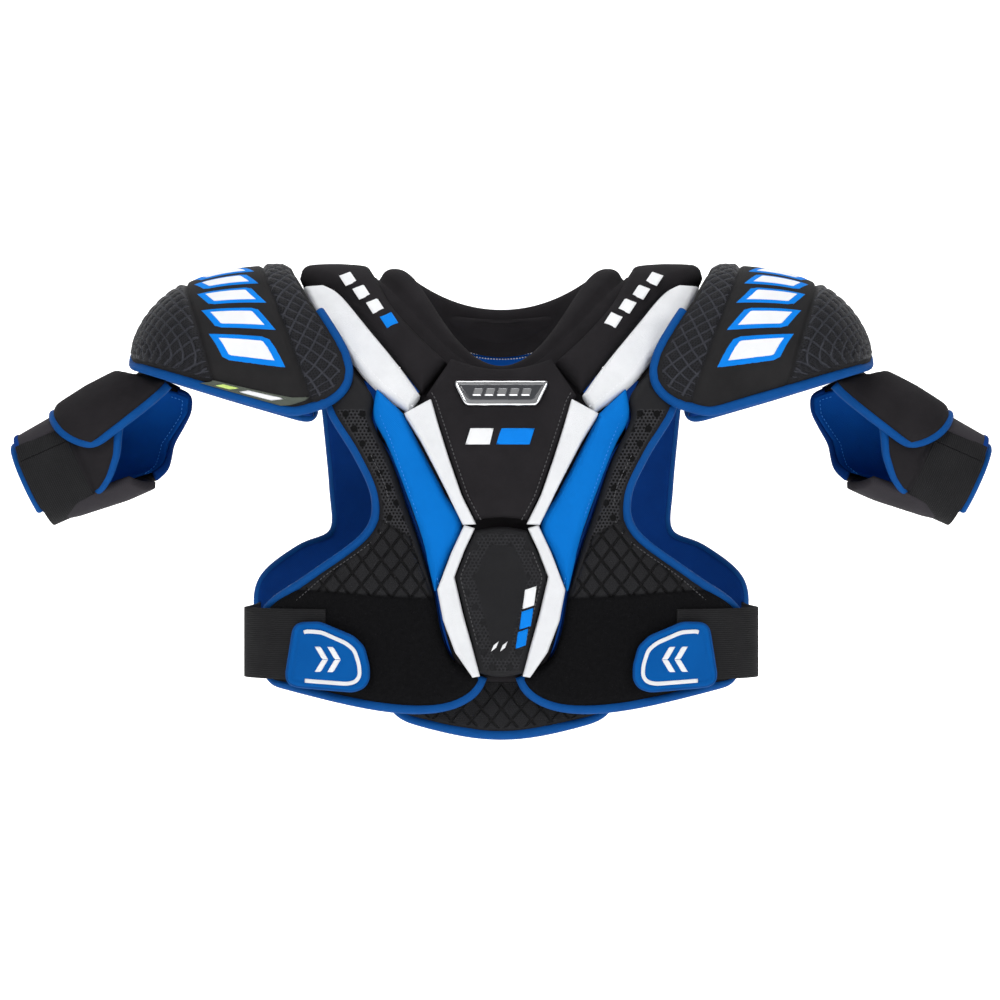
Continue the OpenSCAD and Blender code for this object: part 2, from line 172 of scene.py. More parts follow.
SPINE_EDGE = [(42, -78), (50, -120), (46, -190), (40, -260), (28, -298)]
BACKING_EDGE = [(46, -56), (70, -82), (98, -104), (84, -135), (72, -171), (60.5, -204),
                (50, -240), (43.5, -273), (36, -295), (23, -309)]
BELLY_EDGE = [(88, -292), (90, -318), (80, -336), (62, -343)]


# ---------------------------------------------------------------- mesh helpers
def clear_selection():
    if bpy.context.object and bpy.context.object.mode != "OBJECT":
        bpy.ops.object.mode_set(mode="OBJECT")
    bpy.ops.object.select_all(action="DESELECT")


def pick(obj):
    clear_selection()
    obj.select_set(True)
    bpy.context.view_layer.objects.active = obj


def cloth_grid(name, points, marks, tint=None):
    """A grid of faces through points[row, column] in mm, with its own UV map in metres."""
    rows, cols = points.shape[:2]
    clear_selection()
    bpy.ops.mesh.primitive_grid_add(x_subdivisions=cols - 1, y_subdivisions=rows - 1, size=1)
    obj = bpy.context.object
    obj.name = obj.data.name = name
    obj.data.vertices.foreach_set("co", (points.reshape(-1, 3) * MM).ravel())
    corner = np.empty(len(obj.data.loops), int)
    obj.data.loops.foreach_get("vertex_index", corner)
    uv = obj.data.uv_layers[0]
    uv.name = "pattern"
    uv.data.foreach_set("uv", (marks.reshape(-1, 2) * MM)[corner].ravel())
    if tint is not None:
        layer = obj.data.color_attributes.new("zone", "FLOAT_COLOR", "POINT")
        layer.data.foreach_set("color", tint.reshape(-1, 4).ravel())
    return obj


def mended(obj, weld=None, capped=False):
    """Welds doubled points if asked, closes open ends if asked, and turns faces outward."""
    bpy.ops.object.mode_set(mode="EDIT")
    bpy.ops.mesh.select_all(action="SELECT")
    if weld:
        bpy.ops.mesh.remove_doubles(threshold=weld)
    if capped:
        bpy.ops.mesh.select_all(action="DESELECT")
        bpy.ops.mesh.select_non_manifold()
        bpy.ops.mesh.fill_holes(sides=0)
        bpy.ops.mesh.select_all(action="SELECT")
    bpy.ops.mesh.normals_make_consistent(inside=False)
    bpy.ops.object.mode_set(mode="OBJECT")
    return obj


def joined(objs, name, weld=WELD):
    """Several meshes made into one, welded where their rims meet."""
    clear_selection()
    for o in objs:
        o.select_set(True)
    bpy.context.view_layer.objects.active = objs[0]
    bpy.ops.object.join()
    obj = bpy.context.object
    obj.name = obj.data.name = name
    return mended(obj, weld)


def dressed(obj, material, body, replaces=(), smooth=True):
    """Finishes a piece: its cloth, the body it rides on (a piece given two bodies is only fixed
    in place, on neither) and the CAD nodes it stands for.
    """
    obj.data.materials.clear()
    obj.data.materials.append(material)
    if smooth:
        pick(obj)
        bpy.ops.object.shade_smooth()
    if isinstance(body, str):
        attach(obj, body)
    else:
        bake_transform(obj)
    if replaces:
        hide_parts(*replaces)
    return obj


def lattice(a, b, across, down, dips=(0, 0), smooth=True, skew=1.0):
    """Pattern places between two edge lines, with the first and last rows dipped; skew
    under 1 moves the lowest place towards the first line."""
    v = np.linspace(0, 1, down + 1)
    u = np.linspace(0, 1, across + 1)
    pa, pb = along(a, v, smooth), along(b, v, smooth)
    p = pa[:, None] * (1 - u)[None, :, None] + pb[:, None] * u[None, :, None]
    sag = np.sin(np.pi * u ** skew)[None, :]
    ease_top = (1 - v)[:, None] ** 3 * dips[0]
    ease_low = v[:, None] ** 3 * dips[1]
    p[..., 1] -= sag * (ease_top + ease_low)
    return p


def edge_distance(points):
    """Distance in mm from each grid point to the grid's own outline."""
    rim = np.concatenate([points[0], points[-1], points[:, 0], points[:, -1]])
    tree = KDTree(len(rim))
    for k, p in enumerate(rim):
        tree.insert(p, k)
    tree.balance()
    flat = points.reshape(-1, 3)
    return np.array([tree.find(p)[2] for p in flat]).reshape(points.shape[:2])


def dome(d, radius):
    """0 on a pad's rim, rising round to 1 at radius mm in from it."""
    t = np.clip(d / radius, 0, 1)
    return np.sqrt(np.maximum(0, 1 - (1 - t) ** 2))


def cushion(name, place, shape, low, high, edge=7.0, rim=0.35, relief=None, zones=None,
            crown=0.0):
    """A stuffed pad with a round edge: two skins that meet on the rim.
    place(off) gives the points at a height, shape the pattern places of its grid."""
    mid = place(np.full(shape.shape[:2], low + rim * (high - low)))
    d = edge_distance(mid)
    rise = dome(d, edge)
    belly = crown * np.clip(d / max(d.max(), 1e-6), 0, 1) ** 0.8
    bump = relief(shape, d) if relief else 0
    seam = low + rim * (high - low)
    top_off = seam + (high - seam) * rise + (belly + bump) * rise
    low_off = seam - (seam - low) * rise
    tint = zones(shape, d) if zones else None
    top = cloth_grid(name + "_top", place(top_off), shape, tint)
    bottom = cloth_grid(name + "_low", place(low_off), shape, tint)
    return joined([top, bottom], name)


def torso_pad(name, a, b, low, high, step=2.0, dips=(0, 0), side="front", mirror=False,
              smooth=True, skew=1.0, **looks):
    """A cushion on the torso between two edge lines."""
    a, b = (flipped(a), flipped(b)) if mirror else (a, b)
    coarse = worn(*np.moveaxis(lattice(a, b, 8, 24, dips, smooth), -1, 0), high, side)
    wide = np.linalg.norm(np.diff(coarse, axis=1), axis=-1).sum(1).max()
    tall = np.linalg.norm(np.diff(coarse, axis=0), axis=-1).sum(0).max()
    shape = lattice(a, b, max(4, int(wide / step)), max(4, int(tall / step)), dips, smooth,
                    skew)

    def place(off):
        return worn(shape[..., 0], shape[..., 1], off, side)
    return cushion(name, place, shape, low, high, **looks)


def tube(name, path, across, thick, normals=None, sides=14, closed=False, power=1.0):
    """A rolled edge along a path in mm: an oval of half sizes across and thick."""
    path = np.asarray(path, float)
    n = len(path)
    if closed:
        way = np.roll(path, -1, 0) - np.roll(path, 1, 0)
    else:
        way = np.gradient(path, axis=0)
    way /= np.linalg.norm(way, axis=1)[:, None]
    if normals is None:
        normals = np.tile([0.0, 0.0, 1.0], (n, 1))
    normals = np.broadcast_to(normals, path.shape).astype(float)
    normals = normals - (normals * way).sum(1)[:, None] * way
    normals /= np.linalg.norm(normals, axis=1)[:, None]
    beside = np.cross(way, normals)
    turn = np.linspace(0, 2 * np.pi, sides + 1)
    cosine = np.sign(np.cos(turn)) * np.abs(np.cos(turn)) ** power
    sine = np.sign(np.sin(turn)) * np.abs(np.sin(turn)) ** power
    across = np.broadcast_to(across, n)[:, None, None]
    thick = np.broadcast_to(thick, n)[:, None, None]
    rings = (path[:, None] + beside[:, None] * cosine[None, :, None] * across
             + normals[:, None] * sine[None, :, None] * thick)
    length = run_along(path)
    marks = np.stack(np.broadcast_arrays(length[:, None], (turn / (2 * np.pi) * 20)[None]), -1)
    if closed:
        rings = np.concatenate([rings, rings[:1]])
        marks = np.concatenate([marks, marks[-1:] + [[[1.0, 0]]]])
    obj = cloth_grid(name, rings, marks)
    pick(obj)
    bpy.ops.object.mode_set(mode="EDIT")
    bpy.ops.mesh.select_all(action="SELECT")
    bpy.ops.mesh.remove_doubles(threshold=WELD)
    bpy.ops.mesh.select_all(action="DESELECT")
    bpy.ops.mesh.select_non_manifold()
    if not closed:
        bpy.ops.mesh.edge_face_add()
        bpy.ops.mesh.select_all(action="DESELECT")
        bpy.ops.mesh.select_non_manifold()
        bpy.ops.mesh.fill_holes(sides=0)
    bpy.ops.mesh.select_all(action="SELECT")
    bpy.ops.mesh.normals_make_consistent(inside=False)
    bpy.ops.object.mode_set(mode="OBJECT")
    return obj


def coordinates(obj):
    flat = np.empty(len(obj.data.vertices) * 3)
    obj.data.vertices.foreach_get("co", flat)
    return flat.reshape(-1, 3)


SETTLE_FRAMES = 20


def stuffed(obj, most=1.8, slack=0.03, grain=5.0, pressure=4.0):
    """Lets a pad's cover settle as cloth pushed out by its stuffing. The cover is tried on
    an even copy of the pad, and each point of the pad follows it by up to most mm."""
    pick(obj)
    bpy.ops.object.duplicate()
    trial = bpy.context.object
    even = trial.modifiers.new("even cells", "REMESH")
    even.mode = "VOXEL"
    even.voxel_size = grain * MM
    bpy.ops.object.modifier_apply(modifier=even.name)
    before = coordinates(trial)
    cover = trial.modifiers.new("cover", "CLOTH")
    cover.settings.use_pressure = True
    cover.settings.uniform_pressure_force = pressure
    cover.settings.effector_weights.gravity = 0
    cover.settings.shrink_min = -slack
    cover.settings.quality = 5
    cover.settings.mass = 0.15
    cover.settings.bending_stiffness = 0.1
    cover.point_cache.frame_start = 1
    cover.point_cache.frame_end = 20
    for moment in range(1, SETTLE_FRAMES + 1):
        bpy.context.scene.frame_set(moment)
    bpy.ops.object.modifier_apply(modifier=cover.name)
    move = coordinates(trial) - before
    bpy.context.scene.frame_set(1)
    bpy.ops.object.delete()
    move -= move.mean(0)
    size = np.linalg.norm(move, axis=1)[:, None]
    move *= np.minimum(1, most * MM / np.maximum(size, 1e-9))
    tree = KDTree(len(before))
    for k, point in enumerate(before):
        tree.insert(point, k)
    tree.balance()
    points = coordinates(obj)
    for k, point in enumerate(points):
        near = tree.find_n(point, 16)
        weight = np.array([1 / (n[2] + 0.004) ** 2 for n in near])
        points[k] = point + (move[[n[1] for n in near]] * weight[:, None]).sum(0) / weight.sum()
    obj.data.vertices.foreach_set("co", points.ravel())
    obj.data.update()
    return obj


def resampled(path, step):
    path = np.asarray(path, float)
    length = run_along(path)
    at = np.linspace(0, length[-1], max(3, int(length[-1] / step)))
    return np.stack([np.interp(at, length, path[:, k]) for k in range(path.shape[1])], -1)


def rounded(path, passes=6):
    """A path with its corners eased, its ends kept."""
    p = np.asarray(path, float).copy()
    for _ in range(passes):
        p[1:-1] = p[1:-1] * 0.5 + (p[:-2] + p[2:]) * 0.25
    return p


def torso_normals(path, off, side):
    x, z = path[:, 0], path[:, 1]
    e = 0.5
    du = worn(x + e, z, off, side) - worn(x - e, z, off, side)
    dv = worn(x, z + e, off, side) - worn(x, z - e, off, side)
    n = np.cross(du, dv)
    n /= np.linalg.norm(n, axis=1)[:, None]
    out = np.where(side == "front", -1.0, 1.0)
    flip = np.sign(n[:, 1] * out)
    flip[flip == 0] = 1
    return n * flip[:, None]


def torso_piping(name, line, off, across=3.4, thick=5.0, side="front", mirror=False,
                 smooth=True, ease=6):
    line = flipped(line) if mirror else line
    places = along(line, np.linspace(0, 1, 40 * len(line)), smooth)
    places = rounded(resampled(places, 2.5), ease)
    return tube(name, worn(places[:, 0], places[:, 1], off, side), across, thick,
                torso_normals(places, off, side))


def stitches(name, path, normals, pitch=3.4, length=2.3, radius=0.42):
    """A row of short thread stitches along a path that lies on a surface."""
    path = np.asarray(path, float)
    run = run_along(path)
    count = max(2, int(run[-1] / pitch))
    starts = (np.arange(count) + 0.2) * run[-1] / count
    turn = np.linspace(0, 2 * np.pi, 7)
    parts = []
    for k, shape in enumerate(((0.0, 0.35), (0.25, 1.0), (0.75, 1.0), (1.0, 0.35))):
        at = starts + shape[0] * length
        mid = np.stack([np.interp(at, run, path[:, i]) for i in range(3)], -1)
        nor = np.stack([np.interp(at, run, normals[:, i]) for i in range(3)], -1)
        ahead = np.stack([np.interp(at + 0.5, run, path[:, i]) for i in range(3)], -1) - \
            np.stack([np.interp(at - 0.5, run, path[:, i]) for i in range(3)], -1)
        ahead /= np.maximum(np.linalg.norm(ahead, axis=1), 1e-9)[:, None]
        beside = np.cross(ahead, nor)
        r = radius * shape[1]
        parts.append(mid[:, None] + beside[:, None] * (np.cos(turn[:-1]) * r)[None, :, None]
                     + nor[:, None] * (np.sin(turn[:-1]) * r)[None, :, None])
    rings = np.stack(parts, 1)
    verts = rings.reshape(-1, 3) * MM
    faces = []
    for s in range(count):
        base = s * 24
        for ring in range(3):
            for k in range(6):
                a, b = base + ring * 6 + k, base + ring * 6 + (k + 1) % 6
                faces.append((a, b, b + 6, a + 6))
        faces.append(tuple(base + k for k in range(5, -1, -1)))
        faces.append(tuple(base + 18 + k for k in range(6)))
    mesh = bpy.data.meshes.new(name)
    mesh.from_pydata(verts.tolist(), [], faces)
    obj = bpy.data.objects.new(name, mesh)
    bpy.context.scene.collection.objects.link(obj)
    pick(obj)
    return mended(obj)


def torso_stitches(name, line, off, side="front", mirror=False, smooth=True, **how):
    line = flipped(line) if mirror else line
    places = rounded(resampled(along(line, np.linspace(0, 1, 40 * len(line)), smooth), 1.5), 4)
    return stitches(name, worn(places[:, 0], places[:, 1], off, side),
                    torso_normals(places, off, side), **how)


# ---------------------------------------------------------------- materials
def finish(name):
    mat = bpy.data.materials.new(name)
    mat.use_nodes = True
    tree = mat.node_tree
    return mat, tree, tree.nodes["Principled BSDF"]


def calc(tree, how, a, b=None, c=None):
    node = tree.nodes.new("ShaderNodeMath")
    node.operation = how
    for k, item in enumerate((a, b, c)):
        if item is None:
            continue
        if isinstance(item, (int, float)):
            node.inputs[k].default_value = item
        else:
            tree.links.new(item, node.inputs[k])
    return node.outputs[0]


def spots(tree, u, v, pitch, radius, soft=0.25, stagger=True):
    """Round dots on a grid of that pitch: 1 inside a dot, 0 outside. All in metres."""
    row = calc(tree, "DIVIDE", v, pitch * (0.866 if stagger else 1))
    whole = calc(tree, "FLOOR", row)
    shift = calc(tree, "MULTIPLY", calc(tree, "MODULO", calc(tree, "ABSOLUTE", whole), 2.0),
                 0.5 if stagger else 0.0)
    col = calc(tree, "ADD", calc(tree, "DIVIDE", u, pitch), shift)
    x = calc(tree, "SUBTRACT", calc(tree, "FRACT", col), 0.5)
    y = calc(tree, "MULTIPLY", calc(tree, "SUBTRACT", calc(tree, "FRACT", row), 0.5),
             0.866 if stagger else 1)
    d = calc(tree, "SQRT", calc(tree, "ADD", calc(tree, "MULTIPLY", x, x),
                                calc(tree, "MULTIPLY", y, y)))
    r = radius / pitch
    return ramp_between(tree, d, r * (1 + soft), r * (1 - soft))


def ramp_between(tree, a, low, high):
    """0 at low and 1 at high, straight between them."""
    node = tree.nodes.new("ShaderNodeMapRange")
    tree.links.new(a, node.inputs["Value"])
    node.inputs["From Min"].default_value = low
    node.inputs["From Max"].default_value = high
    node.interpolation_type = "SMOOTHSTEP" if low < high else "LINEAR"
    return node.outputs[0]


def ridge(tree, a, pitch):
    """1 on lines every pitch along a, 0 halfway between them."""
    f = calc(tree, "FRACT", calc(tree, "DIVIDE", a, pitch))
    return calc(tree, "ABSOLUTE", calc(tree, "MULTIPLY", calc(tree, "SUBTRACT", f, 0.5), 2.0))


def pattern_axes(tree):
    """The two pattern places of a cloth, in metres along and across its thread."""
    uv = tree.nodes.new("ShaderNodeUVMap")
    uv.uv_map = "pattern"
    split = tree.nodes.new("ShaderNodeSeparateXYZ")
    tree.links.new(uv.outputs[0], split.inputs[0])
    return split.outputs[0], split.outputs[1]


def object_place(tree):
    return tree.nodes.new("ShaderNodeTexCoord").outputs["Object"]


def noise(tree, where, scale, detail=3.0, rough=0.55):
    node = tree.nodes.new("ShaderNodeTexNoise")
    tree.links.new(where, node.inputs["Vector"])
    node.inputs["Scale"].default_value = scale
    node.inputs["Detail"].default_value = detail
    node.inputs["Roughness"].default_value = rough
    return node.outputs["Fac"]


def blend_colors(tree, fac, a, b):
    node = tree.nodes.new("ShaderNodeMix")
    node.data_type = "RGBA"
    for socket, item in ((node.inputs[0], fac), (node.inputs[6], a), (node.inputs[7], b)):
        if isinstance(item, (int, float)):
            socket.default_value = item
        elif isinstance(item, tuple):
            socket.default_value = (*item, 1)
        else:
            tree.links.new(item, socket)
    return node.outputs[2]


def bumped(tree, shader, layers):
    """Bumps stacked on each other: (height, distance in metres, strength)."""
    normal = None
    for height, distance, strength in layers:
        node = tree.nodes.new("ShaderNodeBump")
        node.inputs["Distance"].default_value = distance
        node.inputs["Strength"].default_value = strength
        tree.links.new(height, node.inputs["Height"])
        if normal is not None:
            tree.links.new(normal, node.inputs["Normal"])
        normal = node.outputs[0]
    tree.links.new(normal, shader.inputs["Normal"])


def weave(tree, u, v, pitch):
    """Plain weave: threads over and under in turn."""
    a = calc(tree, "SINE", calc(tree, "MULTIPLY", u, math.pi * 2 / pitch))
    b = calc(tree, "SINE", calc(tree, "MULTIPLY", v, math.pi * 2 / pitch))
    return calc(tree, "MULTIPLY_ADD", calc(tree, "MULTIPLY", a, b), 0.5, 0.5)


def cloth(name, dark, light, pitch=0.0011, rough=0.82, sheen=0.0, mottle=40.0, nap=0.5,
          weave_depth=0.00025, shine=0.04):
    """Woven or knitted cloth: thread bumps, uneven dye, lint and a soft sheen."""
    mat, tree, shader = finish(name)
    u, v = pattern_axes(tree)
    where = object_place(tree)
    threads = weave(tree, u, v, pitch)
    cloud = noise(tree, where, mottle, 4)
    fuzz = noise(tree, where, 1400, 2)
    tone = calc(tree, "ADD", calc(tree, "MULTIPLY", threads, 0.35),
                calc(tree, "MULTIPLY", cloud, 0.65))
    color = blend_colors(tree, tone, dark, light)
    tree.links.new(color, shader.inputs["Base Color"])
    tree.links.new(calc(tree, "MULTIPLY_ADD", fuzz, 0.15, rough - 0.08),
                   shader.inputs["Roughness"])
    shader.inputs["Sheen Weight"].default_value = sheen
    shader.inputs["Sheen Roughness"].default_value = 0.45
    shader.inputs["Specular IOR Level"].default_value = shine
    bumped(tree, shader, [(cloud, 0.0012, 0.25), (threads, weave_depth, 0.6),
                          (fuzz, 0.0003, nap)])
    return mat


def zone_layers(tree):
    node = tree.nodes.new("ShaderNodeVertexColor")
    node.layer_name = "zone"
    split = tree.nodes.new("ShaderNodeSeparateColor")
    tree.links.new(node.outputs[0], split.inputs[0])
    return split.outputs[0], split.outputs[1], split.outputs[2]


def zoned_black(name="black_zoned", quilt=0.0125):
    """Black pad cloth in three zones: punched mesh, embossed diamonds and brushed loop."""
    mat, tree, shader = finish(name)
    u, v = pattern_axes(tree)
    where = object_place(tree)
    punched, diamonds, loop = zone_layers(tree)
    small = spots(tree, u, v, 0.0030, 0.00085)
    big = spots(tree, u, v, 0.0135, 0.0026, 0.15)
    holes = calc(tree, "MULTIPLY", calc(tree, "MAXIMUM", small, big), punched)
    a = calc(tree, "ADD", u, calc(tree, "MULTIPLY", v, 0.80))
    b = calc(tree, "SUBTRACT", u, calc(tree, "MULTIPLY", v, 0.80))
    lines = calc(tree, "MAXIMUM", ridge(tree, a, quilt * 1.25), ridge(tree, b, quilt * 1.25))
    groove = ramp_between(tree, lines, 0.80, 0.93)
    inner = spots(tree, u, v, 0.0021, 0.0006)
    quilted = calc(tree, "MULTIPLY", groove, diamonds)
    threads = weave(tree, u, v, 0.0012)
    nap = noise(tree, where, 900, 3)
    tufts = noise(tree, where, 330, 4, 0.7)
    cloud = noise(tree, where, 35, 4)
    base = blend_colors(tree, calc(tree, "MULTIPLY_ADD", cloud, 0.6, calc(
        tree, "MULTIPLY", nap, 0.4)), (0.0064, 0.0064, 0.0072), (0.0184, 0.0184, 0.02))
    furry = blend_colors(tree, tufts, (0.0013, 0.0013, 0.0016), (0.0056, 0.0056, 0.0064))
    speckled = blend_colors(tree, nap, (0.0096, 0.0096, 0.0112), (0.0544, 0.0544, 0.0592))
    color = blend_colors(tree, loop, base, furry)
    color = blend_colors(tree, calc(tree, "MULTIPLY", punched, 0.85), color, speckled)
    # Painted shade: the punched holes and the quilted grooves are coloured darker for the shade
    # that falls inside them.
    color = blend_colors(tree, holes, color, (0.0024, 0.0024, 0.0026))
    color = blend_colors(tree, calc(tree, "MULTIPLY", quilted, 0.75), color,
                         (0.0048, 0.0048, 0.0048))
    tree.links.new(color, shader.inputs["Base Color"])
    matte = calc(tree, "MULTIPLY_ADD", loop, 0.35, 0.55)
    tree.links.new(matte, shader.inputs["Roughness"])
    shader.inputs["Specular IOR Level"].default_value = 0.07
    drop = calc(tree, "SUBTRACT", 1.0, calc(tree, "MAXIMUM", holes, quilted))
    mesh_dots = calc(tree, "MULTIPLY", inner, diamonds)
    furred = calc(tree, "MULTIPLY", tufts, loop)
    bumped(tree, shader, [(drop, 0.0016, 1.0), (mesh_dots, 0.0004, 0.7),
                          (furred, 0.0016, 1.0), (threads, 0.0002, 0.5), (nap, 0.0002, 0.4)])
    return mat


def leatherette(name, dark, light, rough=0.42, grain=900.0):
    """Coated leather: fine grain, soft creases and a slight smear."""
    mat, tree, shader = finish(name)
    where = object_place(tree)
    cells = tree.nodes.new("ShaderNodeTexVoronoi")
    cells.feature = "DISTANCE_TO_EDGE"
    cells.inputs["Scale"].default_value = grain
    tree.links.new(where, cells.inputs["Vector"])
    grain_height = ramp_between(tree, cells.outputs["Distance"], 0.0, 0.25)
    smear = noise(tree, where, 60, 5, 0.6)
    creases = noise(tree, where, 170, 3)
    color = blend_colors(tree, smear, light, dark)
    tree.links.new(color, shader.inputs["Base Color"])
    tree.links.new(calc(tree, "MULTIPLY_ADD", smear, 0.18, rough - 0.06),
                   shader.inputs["Roughness"])
    shader.inputs["Coat Weight"].default_value = 0.08
    bumped(tree, shader, [(creases, 0.0006, 0.3), (grain_height, 0.00025, 0.5)])
    return mat


def piping_cloth(name, dark, light):
    """Edge tape with cross ribs."""
    mat, tree, shader = finish(name)
    v = pattern_axes(tree)[1]
    where = object_place(tree)
    ribs = calc(tree, "SINE", calc(tree, "MULTIPLY", v, math.pi * 2 / 0.0009))
    ribs = calc(tree, "MULTIPLY_ADD", ribs, 0.5, 0.5)
    cloud = noise(tree, where, 70, 4)
    fuzz = noise(tree, where, 1500, 2)
    color = blend_colors(tree, calc(tree, "MULTIPLY_ADD", cloud, 0.7, calc(
        tree, "MULTIPLY", ribs, 0.3)), dark, light)
    tree.links.new(color, shader.inputs["Base Color"])
    shader.inputs["Roughness"].default_value = 0.7
    shader.inputs["Specular IOR Level"].default_value = 0.08
    bumped(tree, shader, [(cloud, 0.001, 0.3), (ribs, 0.0002, 0.45), (fuzz, 0.0002, 0.4)])
    return mat


def webbing(name, dark, light, rib=0.0016, rough=0.75):
    """Elastic tape: ribs along its length, crossed by fine threads."""
    mat, tree, shader = finish(name)
    u, v = pattern_axes(tree)
    where = object_place(tree)
    ribs = calc(tree, "MULTIPLY_ADD", calc(tree, "SINE", calc(
        tree, "MULTIPLY", v, math.pi * 2 / rib)), 0.5, 0.5)
    cross = calc(tree, "MULTIPLY_ADD", calc(tree, "SINE", calc(
        tree, "MULTIPLY", u, math.pi * 2 / 0.0009)), 0.5, 0.5)
    cloud = noise(tree, where, 45, 4)
    height = calc(tree, "ADD", calc(tree, "MULTIPLY", ribs, 0.7),
                  calc(tree, "MULTIPLY", cross, 0.3))
    color = blend_colors(tree, calc(tree, "MULTIPLY_ADD", ribs, 0.5, calc(
        tree, "MULTIPLY", cloud, 0.5)), dark, light)
    tree.links.new(color, shader.inputs["Base Color"])
    shader.inputs["Roughness"].default_value = rough
    shader.inputs["Specular IOR Level"].default_value = 0.05
    bumped(tree, shader, [(cloud, 0.0012, 0.25), (height, 0.00035, 0.8)])
    return mat


def plain(name, color, rough, metallic=0.0, grain=300.0, depth=0.0002, coat=0.0):
    """Moulded or plated surface with faint unevenness."""
    mat, tree, shader = finish(name)
    where = object_place(tree)
    cloud = noise(tree, where, grain, 4)
    smear = noise(tree, where, 25, 5)
    dark = tuple(c * 0.8 for c in color)
    tree.links.new(blend_colors(tree, smear, dark, color), shader.inputs["Base Color"])
    tree.links.new(calc(tree, "MULTIPLY_ADD", smear, 0.12, rough - 0.05),
                   shader.inputs["Roughness"])
    shader.inputs["Metallic"].default_value = metallic
    shader.inputs["Coat Weight"].default_value = coat
    bumped(tree, shader, [(cloud, depth, 0.35)])
    return mat


BLACK = cloth("black_knit", (0.008, 0.0075, 0.0083), (0.0216, 0.0198, 0.0221))
ZONED = zoned_black()
BLUE = cloth("blue_knit", (0.001, 0.105, 0.40), (0.002, 0.165, 0.56), pitch=0.0014,
             rough=0.75, mottle=30, weave_depth=0.0003)
NAVY = cloth("navy_lining_cloth", (0.002, 0.019, 0.11), (0.004, 0.043, 0.22), pitch=0.0016,
             rough=0.9, nap=0.9)
LINING_BLUE = cloth("blue_lining_cloth", (0.002, 0.042, 0.23), (0.003, 0.080, 0.36),
                    pitch=0.0016, rough=0.85, nap=0.9)
PIPING = piping_cloth("blue_piping", (0.001, 0.040, 0.170), (0.002, 0.068, 0.26))
TAB_BLUE = cloth("blue_tab_cloth", (0.001, 0.057, 0.23), (0.003, 0.095, 0.35))
WHITE = leatherette("white_leather", (0.55, 0.56, 0.58), (0.69, 0.70, 0.72))
ELASTIC = webbing("black_webbing", (0.0064, 0.0064, 0.0072), (0.0208, 0.0208, 0.0216))
THREAD_BLACK = plain("black_thread", (0.048, 0.048, 0.0512), 0.6, grain=900)
THREAD_WHITE = plain("white_thread", (0.75, 0.76, 0.78), 0.6, grain=900)
THREAD_BLUE = plain("blue_thread", (0.024, 0.24, 0.8), 0.6, grain=900)
CHROME = plain("bright_chrome", (0.78, 0.79, 0.81), 0.16, metallic=1.0, grain=40,
               depth=0.0003)
DARK_ENAMEL = plain("dark_enamel", (0.032, 0.0336, 0.0384), 0.25, coat=0.5)
GRIP = cloth("grey_grip_cloth", (0.0192, 0.0176, 0.0208), (0.0384, 0.0352, 0.04), pitch=0.0018,
             rough=0.7, nap=0.2)
SHEET = plain("moulded_sheet", (0.0288, 0.0288, 0.032), 0.5)
TAG = cloth("grey_tag_cloth", (0.056, 0.064, 0.056), (0.112, 0.128, 0.104), pitch=0.0007)
TAG_MARK = cloth("tag_print", (0.48, 0.672, 0.16), (0.672, 0.8, 0.256), pitch=0.0007)
PRINT_WHITE = leatherette("white_print", (0.66, 0.67, 0.69), (0.76, 0.77, 0.78), rough=0.5,
                          grain=1400)
PRINT_BLUE = cloth("blue_print", (0.0016, 0.136, 0.528), (0.0048, 0.224, 0.768), pitch=0.0008,
                   rough=0.6, nap=0.2)


# ---------------------------------------------------------------- chest
def chest_seams(x):
    """Heights of a chest pad's slanted seam and of its waist seam, x mm from the middle."""
    seam = np.interp(x, [40, 54, 71, 97, 110], [-262, -239, -196, -182, -180])
    return seam, -240 - 3 * np.sin(x / 40)


def chest_zones(shape, d):
    """Punched mesh above a slanted seam, diamonds below it, brushed loop at the bottom."""
    x, z = np.abs(shape[..., 0]), shape[..., 1]
    seam, waist = chest_seams(x)
    tint = blank_tint(shape.shape[:2])
    tint[..., 0] = np.clip((z - seam) / 1.2, 0, 1) * np.clip((d - 4) / 1.5, 0, 1) * (z < -96)
    tint[..., 2] = np.clip((waist - z) / 1.2, 0, 1)
    tint[..., 1] = np.clip((seam - z) / 1.2, 0, 1) * (1 - tint[..., 2]) * (d > 3.5)
    return tint


def chest_relief(shape, d):
    """Puffed diamonds, and the sewn seams between the zones."""
    x, z = np.abs(shape[..., 0]), shape[..., 1]
    pitch = 15.625
    a, b = (x + 0.8 * z) / pitch, (x - 0.8 * z) / pitch
    fa, fb = np.abs((a % 1) - 0.5) * 2, np.abs((b % 1) - 0.5) * 2
    puff = 1 - np.maximum(fa, fb) ** 4
    zone = chest_zones(shape, d)
    seam, waist = chest_seams(x)
    sewn = np.exp(-((z - seam) / 1.6) ** 2) + np.exp(-((z - waist) / 1.8) ** 2)
    wave = 0.5 * np.sin(x / 23 + 1.1) * np.sin(z / 31)
    return zone[..., 1] * (puff - 0.6) * 1.3 - 1.6 * np.clip(sewn, 0, 1) + wave


